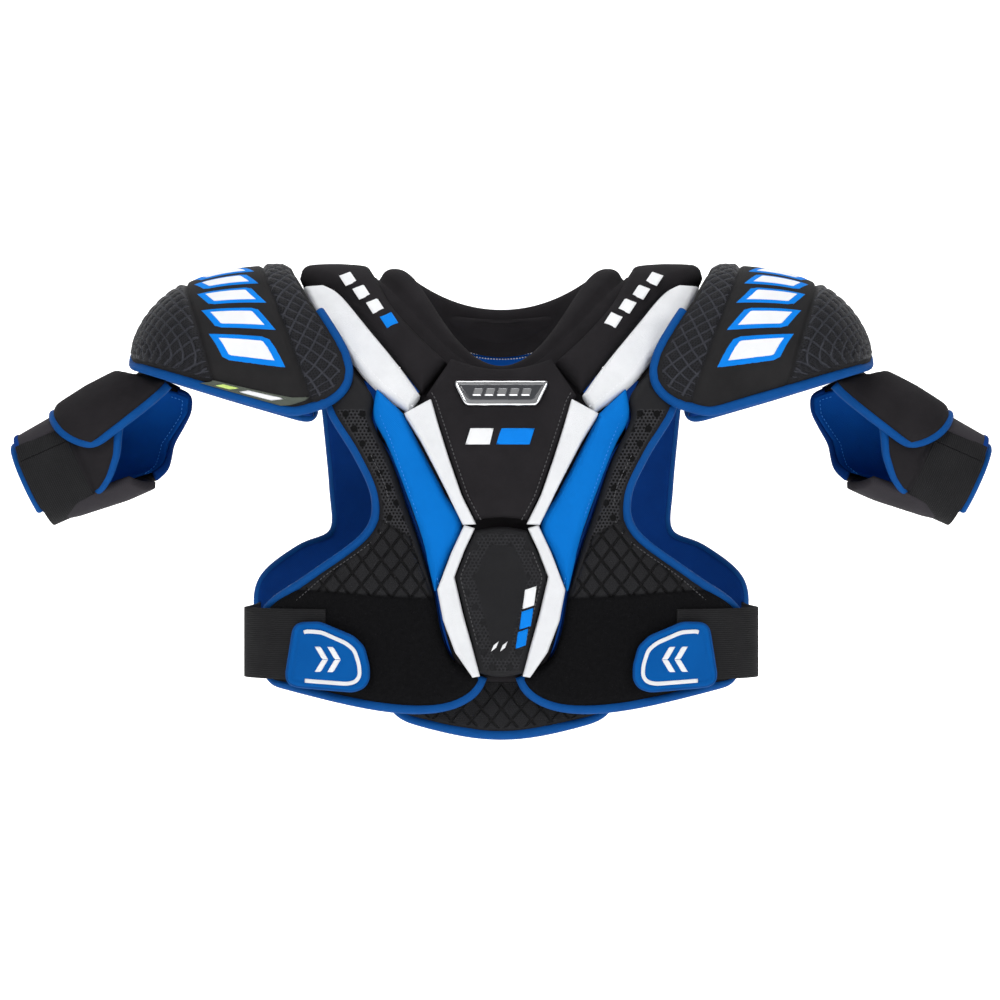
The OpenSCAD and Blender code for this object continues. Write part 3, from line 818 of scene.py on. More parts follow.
for side, sign in SIDES.items():
    pad = torso_pad(f"chest_pad_{side}", CHEST_INNER, CHEST_OUTER, PAD_IN, PAD_OUT, step=1.3,
                    dips=(0, 24), mirror=sign == RIGHT, edge=9, rim=0.45,
                    relief=chest_relief, zones=chest_zones, crown=1.2, skew=0.55)
    dressed(stuffed(pad, 1.4), ZONED, "chest", [f"chest_panel_{side}"])
    lining = torso_pad(f"chest_lining_{side}", CHEST_INNER, CHEST_OUTER, 0.3, LINER, step=3,
                       dips=(0, 23), mirror=sign == RIGHT, edge=3, skew=0.55)
    dressed(lining, NAVY, "chest", [f"chest_liner_{side}"])
    bottom = lattice(CHEST_INNER, CHEST_OUTER, 60, 120, (0, 24), skew=0.55)[-1]
    rim_line = [tuple(p) for p in along(CHEST_OUTER, np.linspace(0.14, 1, 60))]
    rim_line += [tuple(p) for p in bottom[::-1][2:]]
    edge = torso_piping(f"chest_piping_{side}", rim_line, PAD_IN + 5, across=4.2, thick=5.6,
                        mirror=sign == RIGHT, smooth=False)
    dressed(edge, PIPING, "chest", [f"chest_binding_{side}"])

    wing = torso_pad(f"chest_wing_{side}", INSERT_INNER, INSERT_OUTER, PAD_IN, PAD_OUT + 3.2,
                     step=1.6, mirror=sign == RIGHT, edge=8, rim=0.5, crown=2.0)
    dressed(stuffed(wing), BLUE, "chest", [f"chest_insert_{side}"])

    trim = torso_pad(f"upper_chevron_{side}", TRIM_INNER, TRIM_OUTER, PAD_IN, PLATE_OUT,
                     step=1.0, mirror=sign == RIGHT, edge=2.2, rim=0.88, smooth=False)
    dressed(trim, WHITE, "chest", [f"sternum_trim_{side}"])
    trim = torso_pad(f"lower_chevron_{side}", LOW_TRIM_INNER, LOW_TRIM_OUTER, PAD_IN,
                     PLATE_OUT, step=1.0, mirror=sign == RIGHT, edge=2.2, rim=0.88,
                     smooth=False)
    dressed(trim, WHITE, "sternum_lower", [f"lower_trim_{side}"])

    stripe = torso_pad(f"yoke_stripe_{side}", YOKE_TRIM_IN, YOKE_TRIM_OUT, PAD_IN,
                       YOKE_OUT - 1.5, step=1.4, mirror=sign == RIGHT, edge=4.5, rim=0.7)
    dressed(stripe, WHITE, "chest", [f"yoke_trim_{side}"])


backing = torso_pad("sternum_backing_pad", flipped(BACKING_EDGE), BACKING_EDGE, 0.0, 9.0,
                    step=3, dips=(8, 2), edge=4)
dressed(backing, BLACK, "chest", ["sternum_backing"])


# ---------------------------------------------------------------- sternum plates
def plate_zones(shape, d):
    """Punched dots in a band inside the plate's edge, fading to plain cloth."""
    tint = blank_tint(shape.shape[:2])
    tint[..., 0] = np.clip((d - 4) / 1.2, 0, 1) * np.clip((15 - d) / 1.2, 0, 1) * 0.5
    return tint


plate = torso_pad("upper_plate", flipped(PLATE_EDGE), PLATE_EDGE, PAD_IN + 3.2, PLATE_OUT,
                  step=1.3, dips=(8, -2), edge=6, rim=0.7, smooth=False, crown=1.5)
dressed(stuffed(plate, 0.8), BLACK, "chest", ["sternum_plate_upper"])
plate = torso_pad("lower_plate", flipped(LOW_PLATE_EDGE), LOW_PLATE_EDGE, PAD_IN + 3.2,
                  PLATE_OUT, step=1.2, dips=(-3, 3), edge=6, rim=0.7, smooth=False,
                  crown=1.5, zones=plate_zones)
dressed(plate, ZONED, "sternum_lower", ["sternum_plate_lower"])


# ---------------------------------------------------------------- yoke over the shoulders
def yoke_pad(name, mirror):
    """One pad from the chest over the shoulder to the back."""
    across, down = 30, 90
    u = np.linspace(0, 1, across + 1)[None, :, None]
    halves = []
    for inner, outer, side, end in ((YOKE_INNER, YOKE_OUTER, "front", (1, 0)),
                                    (BACK_YOKE_IN, BACK_YOKE_OUT, "back", (0, 1))):
        v = np.linspace(*end, down)
        p = along(inner, v)[:, None] * (1 - u) + along(outer, v)[:, None] * u
        halves.append((p * (-1, 1) if mirror else p, side))
    shape = np.concatenate([halves[0][0], halves[1][0][1:]])
    shape_mm = shape.copy()
    run = np.concatenate([-(TOP - halves[0][0][..., 1]) - 20, 20 + TOP - halves[1][0][1:, :, 1]])
    shape_mm[..., 1] = run

    def place(off):
        front = worn(halves[0][0][..., 0], halves[0][0][..., 1], off[:down], "front")
        back = worn(halves[1][0][1:, :, 0], halves[1][0][1:, :, 1], off[down:], "back")
        return np.concatenate([front, back])
    return cushion(name, place, shape_mm, PAD_IN, YOKE_OUT, edge=9, rim=0.4, crown=1.0)


for side, sign in SIDES.items():
    pad = yoke_pad(f"shoulder_yoke_{side}", sign == RIGHT)
    dressed(stuffed(pad), BLACK, ("chest", "back", (0, -0.02, 0.01), (0, 0.02, 0.01)),
            [f"yoke_pad_{side}", f"back_yoke_{side}"])


# ---------------------------------------------------------------- collar
NECK_HALF, NECK_FRONT, NECK_BACK = 88.0, 96.0, 80.0


def collar_path(t):
    """Centre line of the collar roll; t is 0 at the throat and 180 at the nape."""
    t = np.radians(t)
    ahead = np.cos(t) > 0
    c = np.abs(np.cos(t))
    y = np.where(ahead, -NECK_FRONT * c ** 1.35, NECK_BACK * c ** 1.2)
    z = np.where(ahead, 10 - 60 * c ** 3, 10 - 31 * c ** 2)
    return np.stack([NECK_HALF * np.sin(t), y, z], -1)


NECK_FOOT_FRONT = [(0, -76), (22, -74), (42, -66), (74, -41), (95, -17), (106, 4), (110, TOP)]
NECK_FOOT_BACK = [(110, TOP), (105, 4), (92, -16), (68, -38), (42, -52), (22, -56), (0, -58)]


def neck_foot(t):
    """Where the collar's outer skirt goes under the pads, off the wearer's torso."""
    t = np.asarray(t, float)
    side = np.where(np.sin(np.radians(t)) < 0, -1.0, 1.0)
    share = np.degrees(np.arccos(np.cos(np.radians(t)))) / 180
    front = along(NECK_FOOT_FRONT, np.clip(share * 2, 0, 1))
    back = along(NECK_FOOT_BACK, np.clip(share * 2 - 1, 0, 1))
    at_front = worn(front[:, 0], front[:, 1], 11, "front")
    at_back = worn(back[:, 0], back[:, 1], 9, "back")
    foot = np.where((share < 0.5)[:, None], at_front, at_back)
    foot[:, 0] *= side
    return foot


def saddle_collar():
    """The padded collar: inner wall, round lip, outer slope with a sewn groove, skirt."""
    turn = np.linspace(0, 360, 241)
    path = rounded(np.concatenate([collar_path(turn[:-1])] * 3), 8)[240:481]
    foot = neck_foot(turn)
    for _ in range(3):
        foot = np.concatenate([foot[-2:-1], foot, foot[1:2]])
        foot = foot[1:-1] * 0.5 + (foot[:-2] + foot[2:]) * 0.25
    throat = np.clip(np.cos(np.radians(turn)), 0, 1) ** 4
    nape = np.clip(-np.cos(np.radians(turn)), 0, 1)
    path[:, 2] -= 17 * throat
    path[:, 1] -= 2 * throat
    across = (11.0 - 5.5 * throat + 1.0 * nape)[:, None]
    thick = (11.5 - 6.5 * throat + 2.0 * nape)[:, None]
    out = path * (1, 1, 0)
    out /= np.linalg.norm(out, axis=1)[:, None]
    up = np.array([[0, 0, 1.0]])
    rows = []
    low_wall = (16.0 - 8.0 * throat + 12.0 * nape)[:, None]
    rows += [path - out * across * 0.80 - up * low_wall,
             path - out * across * 0.94 - up * low_wall * 0.45]
    for a in np.linspace(180, 20, 13):
        a = math.radians(a)
        c, k = math.cos(a), math.sin(a)
        rows.append(path + out * across * math.copysign(abs(c) ** 0.85, c)
                    + up * thick * abs(k) ** 0.85)
    shoulder = rows[-1]
    slope = foot - shoulder
    for share, sink in ((0.10, 1.6), (0.16, 2.6), (0.24, 0.6), (0.4, -1.2), (0.55, -1.4),
                        (0.75, -0.4), (1.0, 1.0)):
        rows.append(shoulder + slope * share - up * sink + out * 0.4 * (1 - share))
    rings = np.stack(rows, 1)
    run = run_along(path)
    wide = runs_over(rings, 1)
    marks = np.stack([np.broadcast_to(run[:, None], wide.shape), wide], -1)
    obj = cloth_grid("saddle_collar", rings, marks)
    pick(obj)
    mended(obj, WELD)
    wall = obj.modifiers.new("thickness", "SOLIDIFY")
    wall.thickness = 0.004
    wall.offset = -1
    bpy.ops.object.modifier_apply(modifier=wall.name)
    smooth = obj.modifiers.new("round", "SUBSURF")
    smooth.levels = smooth.render_levels = 1
    bpy.ops.object.modifier_apply(modifier=smooth.name)
    return obj


roll = saddle_collar()
dressed(roll, BLACK, ("chest", "back", (0, -0.012, 0.01), (0, 0.012, 0.01)),
        ["collar_front", "collar_back"])

NAPE_EDGE = [(58, -2), (62, -12), (59, -21)]
NAPE_LINING_EDGE = [(60, -21.5), (72, -50), (80, -86)]
nape = torso_pad("nape_panel", flipped(NAPE_EDGE), NAPE_EDGE, -1.0, 8.0, step=1.6, side="back",
                 edge=5, rim=0.5, dips=(6, 14))
dressed(nape, BLACK, "back")
nape = torso_pad("nape_lining", flipped(NAPE_LINING_EDGE), NAPE_LINING_EDGE, -1.2, 3.0,
                 step=2.4, side="back", edge=3, rim=0.5, dips=(14, 0))
dressed(nape, LINING_BLUE, "back")
hem = [(x, -21.5 - 14 * math.cos(math.pi * x / 120)) for x in np.linspace(-58, 58, 41)]
places = resampled(hem, 1.5)
seam_normals = torso_normals(places, -1.4, "back") * -1
for k in range(2):
    zig = places + [[0, 1.4 * (-1) ** k]]
    row = stitches(f"nape_overlock_{k}", worn(zig[:, 0], zig[:, 1], -1.6, "back"),
                   seam_normals, pitch=2.4, length=1.5, radius=0.55)
    dressed(row, THREAD_WHITE, "back")


# ---------------------------------------------------------------- back
def back_zones(shape, d):
    """A punched spine strip, with embossed cloth on either side."""
    x = np.abs(shape[..., 0])
    tint = blank_tint(shape.shape[:2])
    spine = np.clip((x - 62) / 1.2, 0, 1)
    tint[..., 0] = (1 - spine) * np.clip((d - 4) / 1.5, 0, 1)
    tint[..., 1] = spine * (d > 4)
    return tint


def back_relief(shape, d):
    x, z = np.abs(shape[..., 0]), shape[..., 1]
    pitch = 15.625
    fa = np.abs(((x + 0.8 * z) / pitch % 1) - 0.5) * 2
    fb = np.abs(((x - 0.8 * z) / pitch % 1) - 0.5) * 2
    puff = 1 - np.maximum(fa, fb) ** 4
    return back_zones(shape, d)[..., 1] * (puff - 0.6) * 1.3 \
        - 1.8 * np.exp(-((x - 62) / 1.8) ** 2)


pad = torso_pad("back_pad", flipped(BACK_EDGE), BACK_EDGE, PAD_IN, PAD_OUT, step=1.8,
                dips=(-16, 18), side="back", edge=9, rim=0.45, relief=back_relief,
                zones=back_zones, crown=1.0)
dressed(pad, ZONED, "back", ["back_panel"])
lining = torso_pad("back_lining", flipped(BACK_EDGE), BACK_EDGE, 0.0, LINER, step=3,
                   dips=(-16, 18), side="back", edge=3)
dressed(lining, NAVY, "back", ["back_liner"])
hem = torso_pad("yoke_hem_back", [(-147, -48), (-146, -86)], [(147, -48), (146, -86)], 2.6, 4.4,
                step=5, side="back", edge=1.5)
dressed(hem, BLACK, "back")
back_low = lattice(flipped(BACK_EDGE), BACK_EDGE, 60, 120, (-16, 18))[-1]
rim_line = [tuple(p) for p in along(BACK_EDGE, np.linspace(0.02, 1, 60))]
rim_line += [tuple(p) for p in back_low[::-1][2:-2]]
rim_line += [(-x, z) for x, z in along(BACK_EDGE, np.linspace(1, 0.02, 60))]
edge = torso_piping("back_piping", rim_line, PAD_IN + 5, across=4.4, thick=5.8, side="back",
                    smooth=False)
dressed(edge, PIPING, "back", ["back_binding"])
spine = torso_pad("spine_cushion", flipped(SPINE_EDGE), SPINE_EDGE, PAD_OUT + 4.2,
                  PAD_OUT + 13, step=2.2, side="back", edge=8, rim=0.3, crown=0.5,
                  dips=(-6, 6))
dressed(stuffed(spine), BLACK, "back", ["spine_pad"])


# ---------------------------------------------------------------- belly pad
def belly_zones(shape, d):
    tint = blank_tint(shape.shape[:2])
    tint[..., 1] = np.clip((d - 4) / 1.5, 0, 1)
    return tint


pad = torso_pad("belly_cushion", flipped(BELLY_EDGE), BELLY_EDGE, -10, -1.5, step=1.6,
                dips=(0, 10), edge=7, zones=belly_zones)
dressed(stuffed(pad, 1.2), ZONED, "belly", ["belly_pad"])
belly_low = lattice(flipped(BELLY_EDGE), BELLY_EDGE, 60, 60, (0, 10))[-1]
rim_line = [(-x, z) for x, z in along(BELLY_EDGE, np.linspace(0.35, 1, 24))]
rim_line += [tuple(p) for p in belly_low[2:-2]]
rim_line += [tuple(p) for p in along(BELLY_EDGE, np.linspace(1, 0.35, 24))]
edge = torso_piping("belly_piping", rim_line, -5.5, across=4.0, thick=5.0, smooth=False)
dressed(edge, PIPING, "belly", ["belly_binding"])


# ---------------------------------------------------------------- waist straps and tabs
def ribbon(name, mid, outward, width_way, half_wide, thick, sides=5):
    """A flat band: mid points, their outward normals, and the way across the band."""
    rows = []
    cuts = np.linspace(-1, 1, sides)
    for c in cuts:
        rows.append(mid + width_way * half_wide * c + outward * thick / 2)
    for c in cuts[::-1]:
        rows.append(mid + width_way * half_wide * c - outward * thick / 2)
    rows.append(rows[0])
    rings = np.stack(rows, 1)
    run = run_along(mid)
    across = np.concatenate([cuts * half_wide, cuts[::-1] * half_wide, [-half_wide]])
    marks = np.stack(np.broadcast_arrays(run[:, None], across[None]), -1)
    obj = cloth_grid(name, rings, marks)
    pick(obj)
    mended(obj, WELD, capped=True)
    bevel = obj.modifiers.new("soft edge", "BEVEL")
    bevel.width = 0.0005
    bevel.segments = 2
    bevel.limit_method = "ANGLE"
    bpy.ops.object.modifier_apply(modifier=bevel.name)
    return obj


strap_low, strap_high = (c * 1000 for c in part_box("waist_strap_left"))
STRAP_MID_Z = (strap_low.z + strap_high.z) / 2
STRAP_OFF = PAD_OUT + 2.4
STRAP_END = 138.0
a_half = FRONT_HALF + STRAP_OFF
q = np.linspace(0, 90, 40)
front_x = STRAP_END + (a_half * 0.955 - STRAP_END) * np.sin(np.radians(q))
front_y = -(CHEST_DEPTH + STRAP_OFF) * girth(front_x, a_half)
belt = np.stack([front_x, front_y], -1)
belt = np.concatenate([belt, [[strap_high.x - 9.5, 20], [strap_high.x - 8.0, 82]]])
belt = rounded(resampled(belt, 3.0), 14)
for side, sign in SIDES.items():
    mid = np.stack([belt[:, 0] * sign, belt[:, 1], np.full(len(belt), STRAP_MID_Z)], -1)
    way = np.gradient(mid, axis=0)
    way /= np.linalg.norm(way, axis=1)[:, None]
    out = np.cross(way, [0, 0, 1]) * sign
    strap = ribbon(f"waist_elastic_{side}", mid, out, np.array([[0, 0, 1.0]]), 28, 2.4,
                   sides=7)
    dressed(strap, ELASTIC, f"waist_strap_{side}_body", [f"waist_strap_{side}"])

tab_low, tab_high = (c * 1000 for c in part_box("strap_tab_left"))
TAB_OFF = PAD_OUT + 4.6


def tab_outline(inset=0.0):
    """Outline of a tab from its upper inner corner round: blunt and raised at the side."""
    x0, x1, z0, z1 = tab_low.x - 1.5, tab_high.x + 1.0, tab_low.z - 1, tab_high.z + 1
    pts = [(x0 + 4, z1 - 19), (x0 + 12, z1 - 11), (x1 - 27, z1), (x1 - 10, z1 - 1),
           (x1 - 6, z1 - 5), (x1, z0 + 12), (x1 - 1, z0 + 6), (x1 - 7, z0 + 3),
           (x0 + 12, z0), (x0 + 4, z0 + 3), (x0, z0 + 9), (x0, z0 + 20)]
    mid = np.array([(x0 + x1) / 2, (z0 + z1) / 2 - 2])
    p = np.array(pts, float)
    way = p - mid
    return mid, p - way / np.linalg.norm(way, axis=1)[:, None] * inset


def disc_pad(name, inset, low, high, mirror, rings=26, spokes=120, edge=3.0, rim=0.5,
             relief=None, places=None):
    """A flat pad whose grid runs round its outline, from the middle out."""
    mid, outline = places or tab_outline(inset)
    loop = np.concatenate([outline, outline[:1]])
    length = run_along(loop)
    at = np.linspace(0, length[-1], spokes + 1)
    border = np.stack([np.interp(at, length, loop[:, k]) for k in (0, 1)], -1)
    border[:-1] = (np.roll(border[:-1], 1, 0) + 2 * border[:-1] + np.roll(border[:-1], -1, 0)) / 4
    border[-1] = border[0]
    r = np.linspace(0.02, 1, rings)[:, None, None]
    shape = mid + (border[None] - mid) * r
    if mirror:
        shape = shape * (-1, 1)
    base = worn(shape[..., 0], shape[..., 1], low)
    tree = KDTree(spokes)
    for k in range(spokes):
        tree.insert(base[-1, k], k)
    tree.balance()
    d = np.array([tree.find(p)[2] for p in base.reshape(-1, 3)]).reshape(base.shape[:2])
    rise = dome(d, edge)
    seam = low + rim * (high - low)
    bump = relief(d) if relief else 0
    top = cloth_grid(name + "_top", worn(shape[..., 0], shape[..., 1],
                                         seam + (high - seam + bump) * rise), shape)
    under = cloth_grid(name + "_low", worn(shape[..., 0], shape[..., 1],
                                           seam - (seam - low) * rise), shape)
    return mended(joined([top, under], name), capped=True)


def chevron_mark(name, corners, off, thick, mirror, material, body):
    """A flat printed shape: a four-cornered patch that lies on the pad."""
    u = np.linspace(0, 1, 9)[None, :, None]
    v = np.linspace(0, 1, 9)[:, None, None]
    a, b, c, d = (np.array(p, float) for p in corners)
    shape = (a * (1 - u) + b * u) * (1 - v) + (d * (1 - u) + c * u) * v
    if mirror:
        shape = shape * (-1, 1)
    rise = inside(shape.shape[:2])
    top = cloth_grid(name + "_top", worn(shape[..., 0], shape[..., 1], off + thick * rise), shape)
    low = cloth_grid(name + "_low", worn(shape[..., 0], shape[..., 1], off - 0.3 * rise), shape)
    return dressed(joined([top, low], name), material, body, smooth=False)


for side, sign in SIDES.items():
    body = f"waist_strap_{side}_body"
    tab = disc_pad(f"tab_{side}", 0, TAB_OFF, TAB_OFF + 5.2, sign == RIGHT, edge=2.6,
                   relief=lambda d: -0.9 * np.exp(-((d - 5.2) / 0.9) ** 2))
    dressed(tab, TAB_BLUE, body, [f"strap_tab_{side}"])
    for label, inset, material, across in (("rim", 1.4, PIPING, 1.9), ("line", 8.0, WHITE, 1.6)):
        mid, loop = tab_outline(inset)
        loop = np.concatenate([loop, loop[:1]]) * (sign, 1)
        loop = resampled(loop, 1.5)
        loop = rounded(np.concatenate([loop[:-1]] * 3), 4)[len(loop) - 1:2 * len(loop) - 2]
        if label == "line":
            far = np.abs(loop[:, 0]) > np.abs(loop[:, 0]).max() - 7
            loop = np.roll(loop, -int(np.flatnonzero(far & ~np.roll(far, -1))[0]) - 1, axis=0)
            loop = loop[:np.count_nonzero(~far)]
        edge = tube(f"tab_{label}_{side}", worn(loop[:, 0], loop[:, 1], TAB_OFF + (
            2.6 if label == "rim" else 5.1)), across, 2.4 if label == "rim" else 0.5,
            torso_normals(loop, TAB_OFF, "front"), closed=label == "rim")
        dressed(edge, material, body)
    cx, cz = tab_outline()[0]
    for k, shift in enumerate((-5, 5)):
        for up in (1, -1):
            chevron_mark(f"tab_mark_{side}_{k}_{'low' if up < 0 else 'high'}",
                         [(cx + shift - 6, cz), (cx + shift - 1, cz),
                          (cx + shift + 5, cz + 10 * up), (cx + shift, cz + 10 * up)],
                         TAB_OFF + 5.1, 0.8, sign == RIGHT, PRINT_WHITE, body)
    hook = disc_pad(f"tab_hook_{side}", 7, TAB_OFF - 2.6, TAB_OFF - 0.2, sign == RIGHT,
                    edge=1.0)
    dressed(hook, ELASTIC, body, [f"hook_patch_{side}"])


# ---------------------------------------------------------------- shoulder caps
CAP_MID = np.array([160.0, 0.0, -100.0])
CAP_FRONT_EDGE = [(0, 162), (0.003, 152), (0.008, 138), (0.018, 128), (0.035, 121.5),
                  (0.055, 120.5), (0.09, 124), (0.16, 137), (0.24, 151), (0.36, 163),
                  (0.5, 171)]
CAP_BACK_EDGE = [(0.5, 171), (0.7, 169.5), (0.85, 166), (0.95, 161), (1, 159)]
CAP_LEN, CAP_HALF, CAP_RISE, CAP_SHARP = 145.0, 110.0, 122.0, 2.8


def cap_start(v):
    """The inner edge: in front it comes round over the chest in a blunt corner."""
    line = np.array(CAP_FRONT_EDGE + CAP_BACK_EDGE[1:], float)
    return np.interp(v, line[:, 0], line[:, 1])


def cap_place(u, v, d, sign=1):
    """A point of the cap's dome: u from the neck side to the tip, v from front to back,
    d mm below the outer face."""
    u, v, d = np.broadcast_arrays(*(np.asarray(a, float) for a in (u, v, d)))
    start = cap_start(v)
    tip = CAP_MID[0] + (CAP_LEN - d) * 0.965
    x = start + (tip - start) * u
    c = np.maximum(0, x - CAP_MID[0]) / (CAP_LEN - d)
    k = (1 - np.minimum(c, 0.999) ** CAP_SHARP) ** (1 / CAP_SHARP)
    high = (CAP_RISE - d) * k
    edge_z = 3 + 40 * np.maximum(0, x - CAP_MID[0] - 5) / (CAP_LEN - 6)
    low = np.clip(edge_z / high, 0, 0.93)
    a0 = np.arcsin(low ** (CAP_SHARP / 2))
    a = a0 + (np.pi - 2 * a0) * v
    y = -(CAP_HALF - d) * k * np.sign(np.cos(a)) * np.abs(np.cos(a)) ** (2 / CAP_SHARP)
    z = CAP_MID[2] + high * np.abs(np.sin(a)) ** (2 / CAP_SHARP)
    return np.stack([x * sign, y, z], -1)


CAP_TIP = 300  # mm from the middle of the suit to the cap's tip, for its seams


def band_lines(v):
    """The two seams of the cap's middle band, as shares of the way to the tip."""
    arch = np.sin(np.pi * v)
    start, length = cap_start(v), CAP_TIP - cap_start(v)
    inner = (148 + 46 * arch ** 0.8 - start) / length
    outer = (226 + 30 * arch ** 0.8 - start) / length
    return inner, outer


def cap_zones(u, v, d):
    """Which parts of a cap are embossed: inside and outside its band."""
    inner, outer = band_lines(v)
    tint = blank_tint(u.shape)
    tint[..., 0] = np.clip((inner - u) / 0.008, 0, 1) * (d > 4)
    tint[..., 2] = np.clip((u - outer) / 0.008, 0, 1) * (d > 4)
    tint[..., 1] = tint[..., 0] + tint[..., 2]
    return tint


def cap_relief(u, v, shape):
    """Embossed diamonds and squares on a cap, and its two sewn seams."""
    inner, outer = band_lines(v)
    length = CAP_TIP - cap_start(v)
    sewn = np.exp(-((u - inner) * length / 1.7) ** 2) \
        + np.exp(-((u - outer) * length / 1.7) ** 2)
    p, q = shape[..., 0] / 13.0, shape[..., 1] / 13.0
    fa = np.abs(((p + q) % 1) - 0.5) * 2
    fb = np.abs(((p - q) % 1) - 0.5) * 2
    diamonds = np.clip((inner - u) * length / 4, 0, 1) * (1 - np.maximum(fa, fb) ** 4)
    p, q = shape[..., 0] / 11.0, shape[..., 1] / 11.0
    fa, fb = np.abs((p % 1) - 0.5) * 2, np.abs((q % 1) - 0.5) * 2
    squares = np.clip((u - outer) * length / 4, 0, 1) * (1 - np.maximum(fa, fb) ** 5)
    return 1.3 * diamonds + 1.5 * squares - 2.0 * np.clip(sewn, 0, 1)


def cap_zoned(name):
    """Black cap cloth: plain band, with glossy embossed squares on either side."""
    mat, tree, shader = finish(name)
    u, v = pattern_axes(tree)
    where = object_place(tree)
    inner, emboss, outer = zone_layers(tree)
    fine = spots(tree, u, v, 0.0024, 0.0007)
    threads = weave(tree, u, v, 0.0011)
    nap = noise(tree, where, 1200, 2)
    cloud = noise(tree, where, 40, 4)
    plain_tone = blend_colors(tree, cloud, (0.0064, 0.0064, 0.007), (0.0184, 0.0176, 0.0184))
    # Painted shade: inside the fine pits the embossed zone is coloured darker for the shade that
    # falls in them.
    gloss_tone = blend_colors(tree, fine, (0.0112, 0.0115, 0.0144), (0.0032, 0.0032, 0.0038))
    slants = calc(tree, "MAXIMUM", ridge(tree, calc(tree, "ADD", u, v), 0.013),
                  ridge(tree, calc(tree, "SUBTRACT", u, v), 0.013))
    squares = calc(tree, "MAXIMUM", ridge(tree, u, 0.011), ridge(tree, v, 0.011))
    lines = calc(tree, "MAXIMUM", calc(tree, "MULTIPLY", slants, inner),
                 calc(tree, "MULTIPLY", squares, outer))
    lines = ramp_between(tree, lines, 0.74, 0.90)
    gloss_tone = blend_colors(tree, lines, gloss_tone, (0.0336, 0.0352, 0.0432))
    tree.links.new(blend_colors(tree, emboss, plain_tone, gloss_tone),
                   shader.inputs["Base Color"])
    tree.links.new(calc(tree, "MULTIPLY_ADD", emboss, -0.28, 0.78), shader.inputs["Roughness"])
    shader.inputs["Specular IOR Level"].default_value = 0.12
    dots = calc(tree, "MULTIPLY", calc(tree, "SUBTRACT", 1.0, fine), emboss)
    bumped(tree, shader, [(calc(tree, "SUBTRACT", 1.0, lines), 0.0012, 0.9),
                          (dots, 0.0004, 0.7), (threads, 0.0002, 0.5), (nap, 0.00025, 0.4)])
    return mat


CAP_CLOTH = cap_zoned("black_cap_cloth")


def cap_skin(name, d_out, d_in, sign, nu=90, nv=170, edge=9.0, rim=0.5, relief=False,
             zones=False, u0=0.0, u1=1.0, v0=0.0, v1=1.0):
    """One crowned layer of a cap, d_out to d_in mm below its nominal face."""
    u = np.linspace(u0, u1, nu)[None, :] * np.ones((nv, 1))
    even = np.linspace(0, 1, nv)
    v = v0 + (v1 - v0) * (0.5 - 0.5 * np.cos(np.pi * even))[:, None] * np.ones((1, nu))
    seam = d_out + (1 - rim) * (d_in - d_out)
    mid = cap_place(u, v, seam, sign)
    d = edge_distance(mid)
    rise = dome(d, edge)
    # Run along the dome in mm, from the shoulder seam and from the top of the arch
    base = cap_place(u, v, 0.0, 1)
    along_v = runs_over(base, 0)
    shape = np.stack([runs_over(base, 1), along_v - along_v[nv // 2]], -1)
    bump = cap_relief(u, v, shape) if relief else 0
    tint = cap_zones(u, v, d) if zones else None
    top = cloth_grid(name + "_top", cap_place(u, v, seam - (seam - d_out + bump) * rise, sign),
                     shape, tint)
    low = cloth_grid(name + "_low", cap_place(u, v, seam + (d_in - seam) * rise, sign), shape,
                     tint)
    return joined([top, low], name)


def cap_border(d, sign):
    """The lower edge of a cap, from high on its front inner edge round the corner and the
    tip to the back."""
    k = np.linspace(0, 1, 60)
    rise = 0.20 * np.linspace(1, 0, 90) ** 1.6
    u = np.concatenate([np.zeros(89), k, np.ones(58), k[::-1], np.zeros(40)])
    v = np.concatenate([rise[:-1], np.zeros(60), k[1:-1], np.ones(60),
                        1 - 0.12 * np.linspace(0.02, 1, 40) ** 1.6])
    return cap_place(u, v, d, sign)


CAP_COVERS = {}
for side, sign in SIDES.items():
    body = f"cap_{side}"
    cover = cap_skin(f"cap_pad_{side}", -0.5, 9, sign, relief=True, zones=True)
    CAP_COVERS[side] = dressed(stuffed(cover, 1.5), CAP_CLOTH, body, [f"cap_cover_{side}"])
    lining = cap_skin(f"cap_lining_{side}", 13.5, 20.5, sign, 50, 90, edge=6)
    dressed(lining, NAVY, body, [f"cap_liner_{side}"])
    border = cap_border(4.0, sign)
    border[:, 2] -= 1.5 * np.clip((-60 - border[:, 2]) / 20, 0, 1)
    border = rounded(resampled(border, 2.5), 10)
    lean = border - CAP_MID * [sign, 1, 1]
    lean[:, 2] = 0
    edge = tube(f"cap_piping_{side}", border, 4.2, 6.0, lean)
    dressed(edge, PIPING, body, [f"cap_binding_{side}"])


def thin_skin(name, rows, thick=0.002):
    """A cloth panel through rows of points, given a thickness and rounded once."""
    grid = np.stack(rows, 1)
    obj = cloth_grid(name, grid, np.stack([runs_over(grid, 0), runs_over(grid, 1)], -1))
    pick(obj)
    for kind in ("SOLIDIFY", "SUBSURF"):
        mod = obj.modifiers.new(kind.lower(), kind)
        if kind == "SOLIDIFY":
            mod.thickness = thick
            mod.offset = 0
        else:
            mod.levels = mod.render_levels = 1
        bpy.ops.object.modifier_apply(modifier=mod.name)
    return mended(obj)


